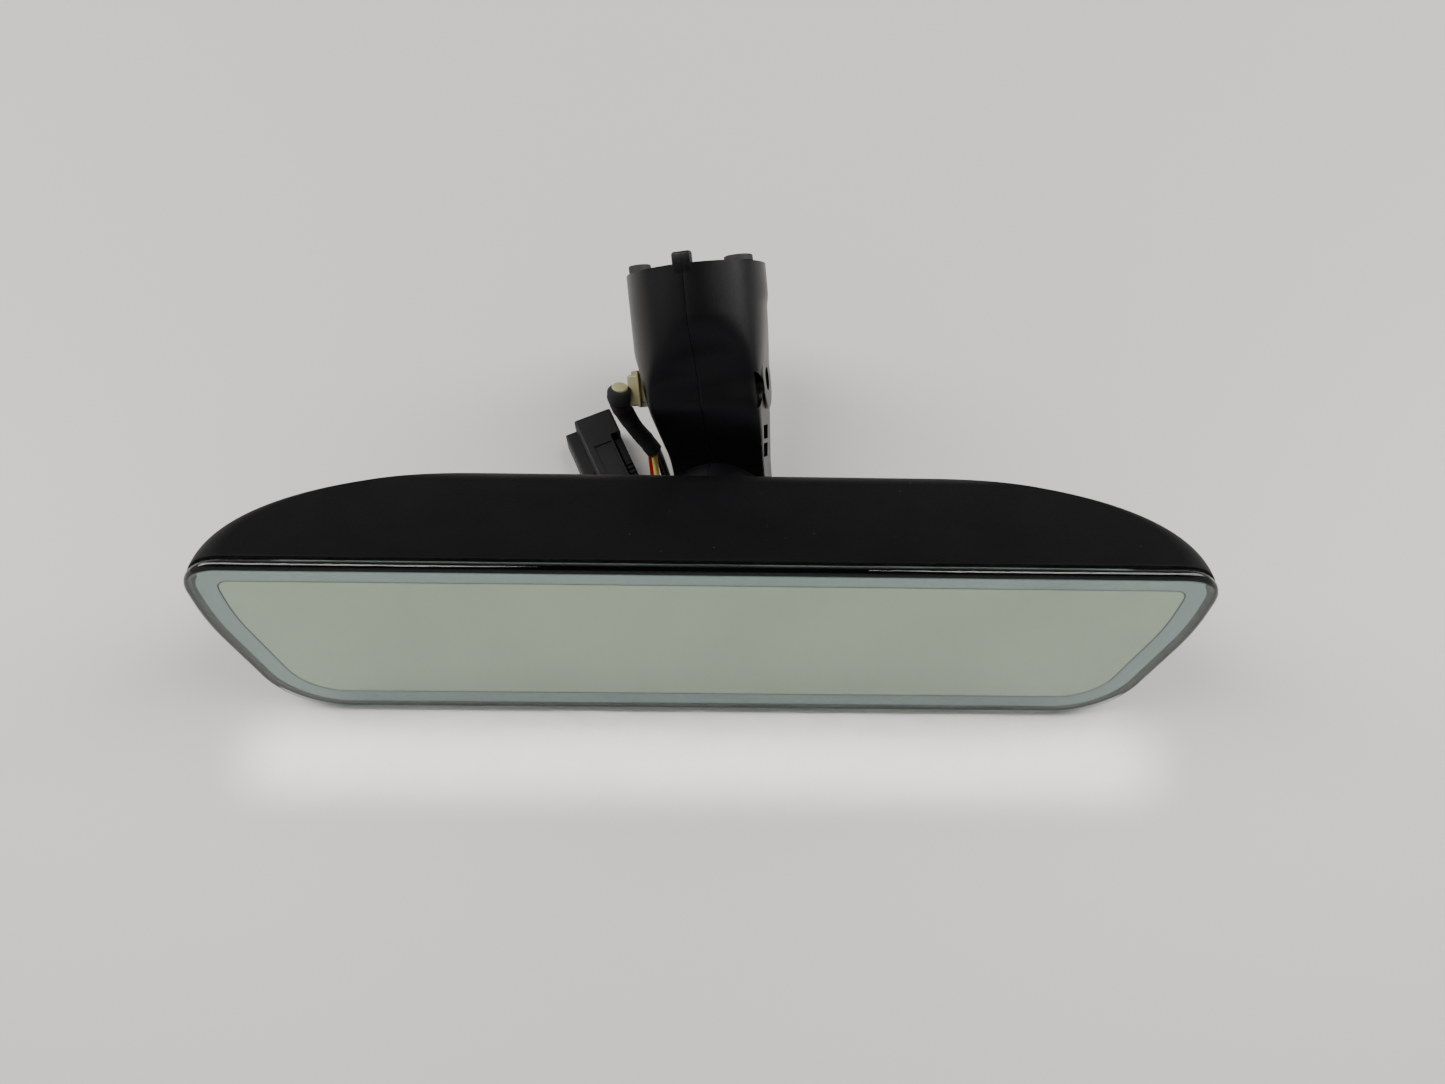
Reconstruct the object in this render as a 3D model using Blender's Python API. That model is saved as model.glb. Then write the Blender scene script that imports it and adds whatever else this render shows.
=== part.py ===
"""Interior rearview mirror: a frameless mirror head on a ball joint, with its arm, foot and loom.

The head stands on its housing's underside. Lengths below are in millimetres, and MM makes them metres.
Head frame: X right, Y back from the glass, Z up along the glass, from the glass's lower edge.
Arm frame: Z along the arm from the ball to the foot, Y towards the arm's back, X right.
"""

import math

import bmesh
import bpy
from mathutils import Euler, Matrix, Vector

MM = 0.001
GAP = 0.3

# Mirror head, in the head frame
GLASS_WIDTH = 250.0
GLASS_HEIGHT = 65.5
GLASS_THICKNESS = 3.3
GLASS_EDGE = 2.0
GLASS_LEAN = math.radians(16)
GLASS_CLEARANCE = 0.8
HALF_WIDTH = GLASS_WIDTH / 2
RING_OUTER_INSET = 2.8
RING_INNER_INSET = 7.6
HOUSING_FRONT = 3.6
HOUSING_BACK = 37.0
HOUSING_WALL = 1.8
HOUSING_TOP = 65.3
ROOF_SLOPE = 0.12
BROW_START = 28.0
BROW_RADIUS = 9.0
HEEL_START = 31.0
HEEL_RADIUS = 6.0

# Inside the head
SENSOR_X = -27.0
SENSOR_Z = 41.0
POST_X = 18.0
POST_Z = 11.5
CARRIER_FRONT = 7.7
CARRIER_BACK = 9.7
POST_BACK = 29.2
FLANGE_FRONT = 29.5
FLANGE_BACK = 32.0

# Ball joint, in the head frame
BALL = Vector((4.0, 45.5, 31.0))
BALL_RADIUS = 8.0
CUP_WALL = 1.2
CUP_GAP = 0.25
DOME_RADIUS = 17.0
DOME_MOUTH = math.radians(31)
SOCKET_MOUTH = math.radians(37)
CUP_MOUTH = math.radians(40)
SHANK_RADIUS = 3.2

# Arm
ARM_RISE = math.radians(46)
ARM_LEAN = math.radians(-8.7)
ARM_ROLL = math.radians(-5)
ARM_LENGTH = 70.4
ARM_START = 8.0
FOOT_RADIUS = 19.4
ARM_WALL = 2.6
NOSE_TOP = 20.0
SEAM_GAP = 0.15
LEFT_CLIP = ((14, 14.4), (23, 15.0), (35, 17.7), (46, 19.5), (55, 32))
RIGHT_CLIP = ((14, 15.3), (27, 16.5), (38, 17.5), (49, 18.7), (60, 19.4), (66, 32))
FRONT_CLIP = ((14, 12.5), (46, 13.5), (55, 16.0), (63.5, 20.5), (68, 32))
BACK_CLIP = ((14, 13.0), (42, 15.0), (57, 20.5), (64, 32))
CORNER_SHARPNESS = 16
BOSS_AT = 38.0
PORT_AT = 38.3

# The stand frame's origin lies under the glass's lower edge, this far in front of the object's middle
STAND_CENTRE = 61.7

# Loom, in the stand frame
PLUG_PLACE = (-27.0, 61.1, 0)
PLUG_TURN = math.radians(24.5)
PLUG_LENGTH = 27.0
TAPE_RADIUS = 2.7
WIRE_RADIUS = 0.85
TAPE_ROUTE = ((-24.2, 81.9, 32.2), (-23.7, 80.8, 28.6), (-21.0, 78.7, 23.4), (-17.9, 76.8, 19.0), (-15.6, 75.3, 15.4))
WIRE_ROUTES = {
    "red": (
        (-16.5, 75.0, 14.2), (-16.3, 73.4, 10.3), (-15.4, 69.0, 4.8), (-14.0, 64.6, 1.7), (-13.4, 60.5, 1.1),
        (-14.6, 57.4, 1.1), (-17.2, 56.2, 1.1), (-19.2, 57.4, 1.6), (-20.2, 60.0, 3.2), (-21.2, 63.3, 4.6),
    ),
    "yellow": (
        (-15.4, 73.7, 15.2), (-15.0, 71.9, 11.9), (-14.4, 68.2, 7.4), (-13.5, 64.4, 4.2), (-13.4, 60.5, 3.2),
        (-14.6, 57.4, 3.2), (-17.2, 56.2, 3.4), (-19.2, 57.4, 4.6), (-20.2, 60.0, 7.4), (-21.2, 63.3, 9.2),
    ),
    "black_1": (
        (-15.2, 76.4, 14.3), (-14.1, 75.4, 9.6), (-12.4, 71.4, 3.8), (-10.7, 65.4, 1.3), (-10.1, 59.1, 1.1),
        (-12.7, 53.6, 1.1), (-17.6, 51.9, 1.1), (-22.0, 53.2, 1.3), (-24.3, 57.2, 3.0), (-25.4, 61.4, 4.6),
    ),
    "black_2": (
        (-14.3, 75.2, 15.9), (-13.1, 74.1, 11.3), (-11.3, 70.4, 6.3), (-10.1, 64.5, 3.6), (-10.1, 59.1, 3.2),
        (-12.7, 53.6, 3.2), (-17.6, 51.9, 3.2), (-22.0, 53.2, 3.8), (-24.3, 57.2, 7.0), (-25.4, 61.4, 9.2),
    ),
}

BLACK = (0.013, 0.013, 0.014)
DARK = (0.02, 0.02, 0.021)


def make_material(name, colour, roughness, metallic=0.0):
    material = bpy.data.materials.new(name)
    material.use_nodes = True
    shader = material.node_tree.nodes["Principled BSDF"]
    shader.inputs["Base Color"].default_value = (*colour, 1)
    shader.inputs["Roughness"].default_value = roughness
    shader.inputs["Metallic"].default_value = metallic
    material.diffuse_color = (*colour, 1)
    return material


def make_materials():
    return {
        "housing": make_material("housing_plastic", BLACK, 0.6),
        "arm": make_material("arm_plastic", DARK, 0.45),
        "inner": make_material("inner_plastic", (0.05, 0.05, 0.052), 0.5),
        "glass": make_material("front_glass", (0.05, 0.12, 0.09), 0.03),
        "ring": make_material("perimeter_ring", (0.42, 0.45, 0.48), 0.25, 0.9),
        "mirror": make_material("mirror_glass", (0.55, 0.6, 0.55), 0.05, 1.0),
        "foam": make_material("foam", (0.12, 0.12, 0.13), 0.95),
        "board": make_material("board", (0.02, 0.16, 0.07), 0.5),
        "chip": make_material("chip", (0.02, 0.02, 0.02), 0.4),
        "copper": make_material("contact_metal", (0.7, 0.5, 0.3), 0.35, 1.0),
        "steel": make_material("steel", (0.55, 0.56, 0.58), 0.3, 1.0),
        "acetal": make_material("cup_plastic", (0.75, 0.74, 0.7), 0.4),
        "clear": make_material("clear_plastic", (0.5, 0.5, 0.5), 0.1),
        "natural": make_material("natural_nylon", (0.55, 0.5, 0.3), 0.45),
        "tape": make_material("loom_tape", (0.015, 0.015, 0.016), 0.9),
        "red": make_material("red_wire", (0.5, 0.02, 0.01), 0.4),
        "yellow": make_material("yellow_wire", (0.75, 0.5, 0.15), 0.4),
        "black": make_material("black_wire", BLACK, 0.4),
        "plug": make_material("plug_plastic", DARK, 0.5),
    }


def add_object(name, bm, parent, material, smooth=True):
    """Turns the bmesh, drawn in millimetres, into an object under its parent."""
    bmesh.ops.scale(bm, vec=(MM, MM, MM), verts=bm.verts)
    bmesh.ops.recalc_face_normals(bm, faces=bm.faces)
    mesh = bpy.data.meshes.new(name)
    bm.to_mesh(mesh)
    bm.free()
    if smooth:
        mesh.shade_smooth()
        mesh.set_sharp_from_angle(angle=math.radians(35))
    piece = bpy.data.objects.new(name, mesh)
    bpy.context.collection.objects.link(piece)
    piece.parent = parent
    if material:
        mesh.materials.append(material)
    return piece


def make_cutter(piece):
    piece.hide_render = True
    piece.display_type = "WIRE"
    return piece


def combine(piece, other, operation):
    """Cuts the other shape from the piece, or joins it on, with a live Boolean."""
    boolean = piece.modifiers.new(other.name, "BOOLEAN")
    boolean.operation = operation
    boolean.object = make_cutter(other)


def box_mesh(low, high, bevel=0.0):
    bm = bmesh.new()
    size = Vector(high) - Vector(low)
    middle = (Vector(high) + Vector(low)) / 2
    bmesh.ops.create_cube(bm, size=1)
    bmesh.ops.scale(bm, vec=size, verts=bm.verts)
    bmesh.ops.translate(bm, vec=middle, verts=bm.verts)
    if bevel:
        bmesh.ops.bevel(bm, geom=bm.edges[:], offset=bevel, segments=2, profile=0.5, affect="EDGES")
    return bm


def rod_mesh(start, end, radius, sides=24):
    """A closed cylinder from one point to another."""
    bm = bmesh.new()
    run = Vector(end) - Vector(start)
    turn = run.to_track_quat("Z", "Y").to_matrix().to_4x4()
    place = Matrix.Translation((Vector(start) + Vector(end)) / 2) @ turn
    bmesh.ops.create_cone(
        bm, cap_ends=True, segments=sides, radius1=radius, radius2=radius, depth=run.length, matrix=place
    )
    return bm


def turned_mesh(profile, sides=32, closed=False):
    """Spins a profile of (radius, height) points round Z."""
    bm = bmesh.new()
    points = [bm.verts.new((radius, 0, height)) for radius, height in profile]
    if closed:
        points.append(points[0])
    edges = [bm.edges.new(pair) for pair in zip(points, points[1:])]
    bmesh.ops.spin(
        bm,
        geom=list(set(points)) + edges,
        cent=(0, 0, 0),
        axis=(0, 0, 1),
        angle=2 * math.pi,
        steps=sides,
        use_merge=True,
    )
    bmesh.ops.remove_doubles(bm, verts=bm.verts, dist=0.001)
    return bm


def loft_mesh(rings, closed=False):
    """Bridges rings of equal length. Its ends are capped, or joined to each other when closed."""
    bm = bmesh.new()
    rows = [[bm.verts.new(point) for point in ring] for ring in rings]
    pairs = list(zip(rows, rows[1:]))
    if closed:
        pairs.append((rows[-1], rows[0]))
    else:
        bm.faces.new(rows[0])
        bm.faces.new(rows[-1])
    for near, far in pairs:
        for index in range(len(near)):
            after = (index + 1) % len(near)
            bm.faces.new((near[index], near[after], far[after], far[index]))
    return bm


def between(knots, at):
    """Reads a value from (place, value) pairs, on straight lines from one pair to the next."""
    if at <= knots[0][0]:
        return knots[0][1]
    for (start, low), (end, high) in zip(knots, knots[1:]):
        if at <= end:
            return low + (high - low) * (at - start) / (end - start)
    return knots[-1][1]


# Outlines and sections


def head_corners(half_width, bottom, top):
    """Corners of the head's outline, counter-clockwise, as (x, z, fillet radius, steps)."""
    scale = (top - bottom) / GLASS_HEIGHT
    shoulder = top - 23.5 * scale
    foot_half = half_width - 10.5 * scale
    right = [
        (foot_half, bottom, 22 * scale, 6),
        (half_width, shoulder, 70 * scale, 3),
        (half_width + 0.3, top, 11 * scale, 5),
    ]
    left = [(-x, z, radius, steps) for x, z, radius, steps in reversed(right)]
    return right + left


def rounded_outline(corners, inset=0.0):
    """Points of a filleted convex polygon, moved in by the inset."""
    points = []
    for index, (x, z, radius, steps) in enumerate(corners):
        here = Vector((x, z))
        before = (here - Vector(corners[index - 1][:2])).normalized()
        after = (Vector(corners[(index + 1) % len(corners)][:2]) - here).normalized()
        normal_in = Vector((-before.y, before.x))
        normal_out = Vector((-after.y, after.x))
        bisector = (normal_in + normal_out) / (1 + normal_in.dot(normal_out))
        fillet = max(radius - inset, 1.0)
        centre = here + bisector * (inset + fillet)
        turn = before.angle_signed(after)
        for step in range(steps + 1):
            arm = -normal_in * fillet
            arm.rotate(Matrix.Rotation(-turn * step / steps, 2))
            points.append(centre + arm)
    return points


def glass_ring(y, inset):
    corners = head_corners(HALF_WIDTH, 0.0, GLASS_HEIGHT)
    return [(point.x, y, point.y) for point in rounded_outline(corners, inset)]


def housing_underside(y):
    """Height of the plane that the head stands on."""
    return y * math.tan(GLASS_LEAN) - GLASS_CLEARANCE / math.cos(GLASS_LEAN)


def housing_corners(y):
    depth = (y - HOUSING_FRONT) / (HOUSING_BACK - HOUSING_FRONT + 0.2)
    half_width = HALF_WIDTH * (1 - depth**2.2) ** 0.286
    top = HOUSING_TOP - ROOF_SLOPE * (min(y, BROW_START) - HOUSING_FRONT)
    if y > BROW_START:
        top -= BROW_RADIUS - math.sqrt(BROW_RADIUS**2 - (y - BROW_START) ** 2)
    bottom = housing_underside(y)
    if y > HEEL_START:
        bottom += HEEL_RADIUS - math.sqrt(HEEL_RADIUS**2 - (y - HEEL_START) ** 2)
    return head_corners(half_width, bottom, top)


def housing_ring(y, inset=0.0, shift=0.0):
    outline = rounded_outline(housing_corners(y), inset)
    return [(point.x, y - shift, point.y) for point in outline]


# Mirror head


def make_front_glass(parent, material):
    steps = 6
    half = GLASS_THICKNESS / 2
    angles = [math.pi * (step / steps - 0.5) for step in range(steps + 1)]
    rings = [glass_ring(half * (1 + math.sin(a)), GLASS_EDGE * (1 - math.cos(a))) for a in angles]
    return add_object("front_glass", loft_mesh(rings), parent, material)


def make_perimeter_ring(parent, material):
    front = GLASS_THICKNESS + 0.2
    back = front + 0.4
    rings = [
        glass_ring(front, RING_OUTER_INSET),
        glass_ring(back, RING_OUTER_INSET),
        glass_ring(back, RING_INNER_INSET),
        glass_ring(front, RING_INNER_INSET),
    ]
    return add_object("perimeter_ring", loft_mesh(rings, closed=True), parent, material)


def make_layer(name, parent, material, inset, front, back):
    rings = [glass_ring(front, inset), glass_ring(back, inset)]
    return add_object(name, loft_mesh(rings), parent, material)


def make_housing(parent, material):
    depths = (HOUSING_FRONT, 7, 12, 17, 22, 26, 29, 31.5, 33.5, 35.2, 36.4, HOUSING_BACK)
    outer = [housing_ring(y) for y in depths]
    inner = []
    for index, y in enumerate(depths):
        along = index / (len(depths) - 1)
        inner.append(housing_ring(y, HOUSING_WALL * (1 - 0.4 * along), 2 * along**2))
    housing = add_object("rear_housing", shell_mesh(outer, inner), parent, material)
    hole = rod_mesh((BALL.x, 30, BALL.z), (BALL.x, 44, BALL.z), DOME_RADIUS - 1.7, 40)
    combine(housing, add_object("dome_hole", hole, parent, None), "DIFFERENCE")
    window = rod_mesh((SENSOR_X, 30, SENSOR_Z), (SENSOR_X, 40, SENSOR_Z), 3.8)
    combine(housing, add_object("window_hole", window, parent, None), "DIFFERENCE")
    return housing


def shell_mesh(outer, inner):
    """A cup: outer rings from rim to floor, inner rings from floor back to the rim."""
    bm = bmesh.new()
    rows = [[bm.verts.new(point) for point in ring] for ring in outer + inner[::-1]]
    bm.faces.new(rows[len(outer) - 1])
    bm.faces.new(rows[len(outer)])
    for index, near in enumerate(rows):
        if index == len(outer) - 1:
            continue
        far = rows[(index + 1) % len(rows)]
        for here in range(len(near)):
            after = (here + 1) % len(near)
            bm.faces.new((near[here], near[after], far[after], far[here]))
    return bm


def post_places():
    return [(BALL.x + side * POST_X, BALL.z + level * POST_Z) for side in (-1, 1) for level in (-1, 1)]


def make_carrier(parent, material):
    carrier = make_layer("carrier_plate", parent, material, 5.4, CARRIER_FRONT, CARRIER_BACK)
    for index, (x, z) in enumerate(post_places()):
        post = rod_mesh((x, 8.5, z), (x, POST_BACK, z), 3.2, 16)
        combine(carrier, add_object(f"post_{index}", post, parent, None), "UNION")
        bore = rod_mesh((x, 19, z), (x, 31, z), 1.6, 12)
        combine(carrier, add_object(f"post_bore_{index}", bore, parent, None), "DIFFERENCE")
    light_path = rod_mesh((SENSOR_X, 5, SENSOR_Z), (SENSOR_X, 12, SENSOR_Z), 2.9, 16)
    combine(carrier, add_object("carrier_light_hole", light_path, parent, None), "DIFFERENCE")
    return carrier


def make_foam_pad(parent, material):
    pad = make_layer("foam_pad", parent, material, 9.5, 5.7, 7.4)
    light_path = rod_mesh((SENSOR_X, 5, SENSOR_Z), (SENSOR_X, 8, SENSOR_Z), 2.9, 16)
    combine(pad, add_object("foam_light_hole", light_path, parent, None), "DIFFERENCE")


def make_electronics(parent, materials):
    """The board stands between the carrier and the back wall, left of the ball socket."""
    board = box_mesh((-92, 12.2, 24), (-20, 13.8, 50), 0.0)
    add_object("circuit_board", board, parent, materials["board"], False)
    chip = box_mesh((-74, 14.1, 32), (-62, 15.7, 42), 0.2)
    add_object("control_chip", chip, parent, materials["chip"], False)
    header = box_mesh((-56, 14.1, 27), (-42, 22, 34), 0.4)
    header_piece = add_object("board_header", header, parent, materials["natural"], False)
    cavity = box_mesh((-54.8, 16, 28.2), (-43.2, 23, 32.8))
    combine(header_piece, add_object("header_cavity", cavity, parent, None, False), "DIFFERENCE")
    glare = rod_mesh((SENSOR_X, 5.8, SENSOR_Z), (SENSOR_X, 11.9, SENSOR_Z), 2.4, 16)
    add_object("glare_sensor", glare, parent, materials["clear"])
    ambient = rod_mesh((SENSOR_X, 14.1, SENSOR_Z), (SENSOR_X, 33.9, SENSOR_Z), 2.4, 16)
    add_object("ambient_sensor", ambient, parent, materials["clear"])
    window = rod_mesh((SENSOR_X, 34.3, SENSOR_Z), (SENSOR_X, HOUSING_BACK, SENSOR_Z), 3.5)
    add_object("sensor_window", window, parent, materials["clear"])


def make_bus_clips(parent, material):
    """Springy contacts that hold the upper and lower edges of the mirror glass."""
    for name, low, high in (("bus_clip_top", 58.8, 61.6), ("bus_clip_bottom", 3.9, 6.7)):
        clip = box_mesh((-60, 4.3, low), (60, 5.4, high), 0.15)
        add_object(name, clip, parent, material, False)


# Ball joint


def half_circle(radius, mouth, steps):
    angles = [mouth + (math.pi - mouth) * step / steps for step in range(steps)]
    return [(radius * math.sin(a), radius * math.cos(a)) for a in angles] + [(0, -radius)]


def cup_mesh(inner, outer, inner_mouth, outer_mouth, sides=28, steps=9):
    """A spherical wall, open at its top by the mouth angles and closed at its bottom."""
    outside = half_circle(outer, outer_mouth, steps)
    return turned_mesh(outside[::-1] + half_circle(inner, inner_mouth, steps), sides)


def make_ball_joint(head, arm, materials):
    """The socket is fixed in the head. Two thin cups turn between it and the ball."""
    inner_low = BALL_RADIUS + CUP_GAP
    inner_high = inner_low + CUP_WALL
    outer_low = inner_high + CUP_GAP
    outer_high = outer_low + CUP_WALL
    add_object("liner_cup_inner", cup_mesh(inner_low, inner_high, CUP_MOUTH, CUP_MOUTH), arm, materials["acetal"])
    add_object("liner_cup_outer", cup_mesh(outer_low, outer_high, CUP_MOUTH, CUP_MOUTH), arm, materials["acetal"])
    dome = cup_mesh(outer_high + CUP_GAP, DOME_RADIUS, SOCKET_MOUTH, DOME_MOUTH, 32, 11)
    socket = add_object("ball_socket", dome, arm, materials["housing"])
    flange = box_mesh((-22.5, FLANGE_FRONT, -15.2), (22.5, FLANGE_BACK, 15.2))
    bmesh.ops.translate(flange, vec=(BALL.x, 0, BALL.z), verts=flange.verts)
    combine(socket, add_object("socket_flange", flange, head, None, False), "UNION")
    for index, (x, z) in enumerate(post_places()):
        hole = rod_mesh((x, 28, z), (x, 34, z), 1.6, 12)
        combine(socket, add_object(f"flange_hole_{index}", hole, head, None), "DIFFERENCE")
        make_socket_screw(f"socket_screw_{index + 1}", x, z, head, materials["steel"])


def make_socket_screw(name, x, z, parent, material):
    screw = turned_mesh([(0, -12), (1.3, -12), (1.3, 0), (2.6, 0), (2.6, 1.2), (2.0, 1.7), (0, 1.7)], 12)
    bmesh.ops.rotate(screw, cent=(0, 0, 0), matrix=Matrix.Rotation(-math.pi / 2, 3, "X"), verts=screw.verts)
    bmesh.ops.translate(screw, vec=(x, FLANGE_BACK + 0.2, z), verts=screw.verts)
    add_object(name, screw, parent, material)


def make_ball_stud(parent, material):
    steps = 12
    top = math.asin(SHANK_RADIUS / BALL_RADIUS)
    angles = [math.pi - (math.pi - top) * step / steps for step in range(steps + 1)]
    profile = [(BALL_RADIUS * math.sin(a), BALL_RADIUS * math.cos(a)) for a in angles]
    profile[0] = (0, -BALL_RADIUS)
    collar = NOSE_TOP + GAP
    profile += [(SHANK_RADIUS, collar), (8.0, collar), (8.0, collar + 2.4), (4.0, collar + 3), (0, collar + 3)]
    add_object("ball_stud", turned_mesh(profile, 28), parent, material)


# Arm


def arm_radius(angle, at, hand):
    """Distance from the arm's axis to its surface. Angle 0 is the side, -90 degrees is the front."""
    side = abs(math.cos(angle)) / between(RIGHT_CLIP if hand > 0 else LEFT_CLIP, at)
    depth_knots = FRONT_CLIP if math.sin(angle) < 0 else BACK_CLIP
    depth = abs(math.sin(angle)) / between(depth_knots, at)
    p = CORNER_SHARPNESS
    return (side**p + depth**p + (1 / FOOT_RADIUS) ** p) ** (-1 / p)


def half_section(at, hand, wall):
    """One half of the arm's C-shaped section: out along the surface, back along the bore."""
    steps = 18
    ring = []
    for step in range(steps + 1):
        angle = math.pi * (step / steps - 0.5)
        radius = arm_radius(angle, at, hand)
        ring.append((hand * max(radius * math.cos(angle), SEAM_GAP), radius * math.sin(angle), at))
    for step in range(steps, -1, -1):
        angle = math.pi * (step / steps - 0.5)
        radius = arm_radius(angle, at, hand) - wall if wall else SHANK_RADIUS + GAP
        ring.append((hand * max(radius * math.cos(angle), SEAM_GAP), radius * math.sin(angle), at))
    return ring


def make_arm_half(name, hand, parent, material):
    sections = [(at, 0) for at in (ARM_START, 14, NOSE_TOP)]
    sections += [(at, ARM_WALL) for at in (NOSE_TOP + 0.01, 26, 32, 38, 44, 50, 55, 58, 61, 64, 67)]
    sections.append((ARM_LENGTH, ARM_WALL + 0.4))
    rings = [half_section(at, hand, wall) for at, wall in sections]
    half = add_object(name, loft_mesh(rings), parent, material)
    nose = bmesh.new()
    bmesh.ops.create_uvsphere(nose, u_segments=32, v_segments=20, radius=DOME_RADIUS + 0.6)
    combine(half, add_object(f"{name}_nose_cut", nose, parent, None), "DIFFERENCE")
    relief = rod_mesh((0, -24, 0), (0, -6, 0), DOME_RADIUS + 0.5, 48)
    combine(half, add_object(f"{name}_front_relief", relief, parent, None), "DIFFERENCE")
    tab = box_mesh((SEAM_GAP, -19.4, ARM_LENGTH - 2.5), (2.7, -16.8, ARM_LENGTH + 2.3))
    bmesh.ops.scale(tab, vec=(hand, 1, 1), verts=tab.verts)
    combine(half, add_object(f"{name}_tab", tab, parent, None, False), "UNION")
    return half


def make_arm_right(parent, material):
    half = make_arm_half("arm_shell_right", 1, parent, material)
    boss = rod_mesh((1.0, 0, BOSS_AT), (17.7, 0, BOSS_AT), 6.2, 28)
    combine(half, add_object("right_boss", boss, parent, None), "UNION")
    rim = rod_mesh((15.0, 0, BOSS_AT), (17.7, 0, BOSS_AT), 8.3, 32)
    combine(half, add_object("right_boss_rim", rim, parent, None), "UNION")
    hole = rod_mesh((8.0, 0, BOSS_AT), (22, 0, BOSS_AT), 3.25, 24)
    combine(half, add_object("right_boss_hole", hole, parent, None), "DIFFERENCE")
    bore = rod_mesh((-1, 0, BOSS_AT), (12, 0, BOSS_AT), 1.8, 16)
    combine(half, add_object("right_boss_bore", bore, parent, None), "DIFFERENCE")
    scoop = rod_mesh((14.5, -13.2, BOSS_AT - 1.5), (24, -13.2, BOSS_AT - 1.5), 4.6, 20)
    combine(half, add_object("right_scoop", scoop, parent, None), "DIFFERENCE")
    for index, at in enumerate((24.2, 18.6)):
        notch = box_mesh((13.6, -7.5, at - 1.9), (20, 2.5, at + 1.9), 0.3)
        combine(half, add_object(f"right_notch_{index}", notch, parent, None, False), "DIFFERENCE")


def make_arm_left(parent, material):
    half = make_arm_half("arm_shell_left", -1, parent, material)
    web = box_mesh((-5.0, -13.0, BOSS_AT - 4), (-SEAM_GAP - 0.2, 13.4, BOSS_AT + 4))
    combine(half, add_object("left_web", web, parent, None, False), "UNION")
    bore = rod_mesh((-7, 0, BOSS_AT), (1, 0, BOSS_AT), 1.8, 16)
    combine(half, add_object("left_web_bore", bore, parent, None), "DIFFERENCE")
    port = box_mesh((-20, -5.8, PORT_AT - 5.6), (-11, 5.8, PORT_AT + 5.6), 0.6)
    combine(half, add_object("left_port", port, parent, None, False), "DIFFERENCE")


def make_arm_screw(parent, material):
    profile = [(0, -12.8), (1.5, -12.8), (1.5, 0), (2.8, 0), (2.8, 1.4), (2.2, 2.0), (0, 2.0)]
    screw = turned_mesh(profile, 16)
    bmesh.ops.rotate(screw, cent=(0, 0, 0), matrix=Matrix.Rotation(math.pi / 2, 3, "Y"), verts=screw.verts)
    bmesh.ops.translate(screw, vec=(11.0 - 2.7, 0, BOSS_AT), verts=screw.verts)
    piece = add_object("arm_screw", screw, parent, material)
    slot = box_mesh((9.2, -0.4, BOSS_AT - 3), (11, 0.4, BOSS_AT + 3))
    combine(piece, add_object("screw_slot", slot, parent, None, False), "DIFFERENCE")


def make_arm_header(parent, material):
    """The socket moulding behind the port, open to the left for the plug's nose."""
    header = box_mesh((-16.0, -5.4, PORT_AT - 5.2), (-6.0, 5.4, PORT_AT + 5.2), 0.4)
    piece = add_object("arm_header", header, parent, material, False)
    cavity = box_mesh((-17.5, -4.0, PORT_AT - 3.8), (-9.0, 4.0, PORT_AT + 3.8))
    combine(piece, add_object("arm_header_cavity", cavity, parent, None, False), "DIFFERENCE")


def make_foot(parent, materials):
    """The collar's ends: a bayonet ring, its star spring, and a pad each side of the key tab."""
    top = ARM_LENGTH - 1.0
    ring = [(14.0, top - 4.4), (15.6, top - 4.4), (15.6, top), (12.4, top), (12.4, top - 1.4), (14.0, top - 1.4)]
    add_object("bayonet_ring", turned_mesh(ring[::-1], 36, True), parent, materials["steel"])
    low = top - 8.8
    spring = [(6, low), (6, low + 0.8), (10.5, low + 0.8), (13.6, low + 2.6), (13.6, low + 1.8), (10.8, low)]
    add_object("bayonet_spring", turned_mesh(spring, 24, True), parent, materials["steel"])
    for name, angle in (("foot_pad_left", -162), ("foot_pad_right", -35)):
        turn = math.radians(angle)
        centre = Vector((15.4 * math.cos(turn), 15.4 * math.sin(turn), ARM_LENGTH + 0.15))
        pad = rod_mesh(centre, centre + Vector((0, 0, 1.6)), 3.9, 20)
        add_object(name, pad, parent, materials["arm"])


def make_cord(name, parent, route, radius, material, spacing, resolution=2):
    """A round cord along a smooth curve through its route points, in its parent's frame."""
    points = smooth_route(route, spacing)
    curve = bpy.data.curves.new(name, "CURVE")
    curve.dimensions = "3D"
    curve.bevel_depth = radius * MM
    curve.bevel_resolution = resolution
    curve.use_fill_caps = True
    spline = curve.splines.new("POLY")
    spline.points.add(len(points) - 1)
    for point, place in zip(spline.points, points):
        point.co = (*(place * MM), 1)
    piece = bpy.data.objects.new(name, curve)
    bpy.context.collection.objects.link(piece)
    piece.parent = parent
    curve.materials.append(material)
    return piece


def smooth_route(route, spacing):
    """Catmull-Rom points through the route, one about every spacing."""
    knots = [Vector(point) for point in route]
    knots = [2 * knots[0] - knots[1]] + knots + [2 * knots[-1] - knots[-2]]
    points = [knots[1]]
    for before, start, end, after in zip(knots, knots[1:], knots[2:], knots[3:]):
        count = max(1, round((end - start).length / spacing))
        for step in range(1, count + 1):
            t = step / count
            cubic = 2 * start + (end - before) * t
            cubic += (2 * before - 5 * start + 4 * end - after) * t**2
            cubic += (3 * start - before - 3 * end + after) * t**3
            points.append(cubic / 2)
    return points


# Loom


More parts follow.
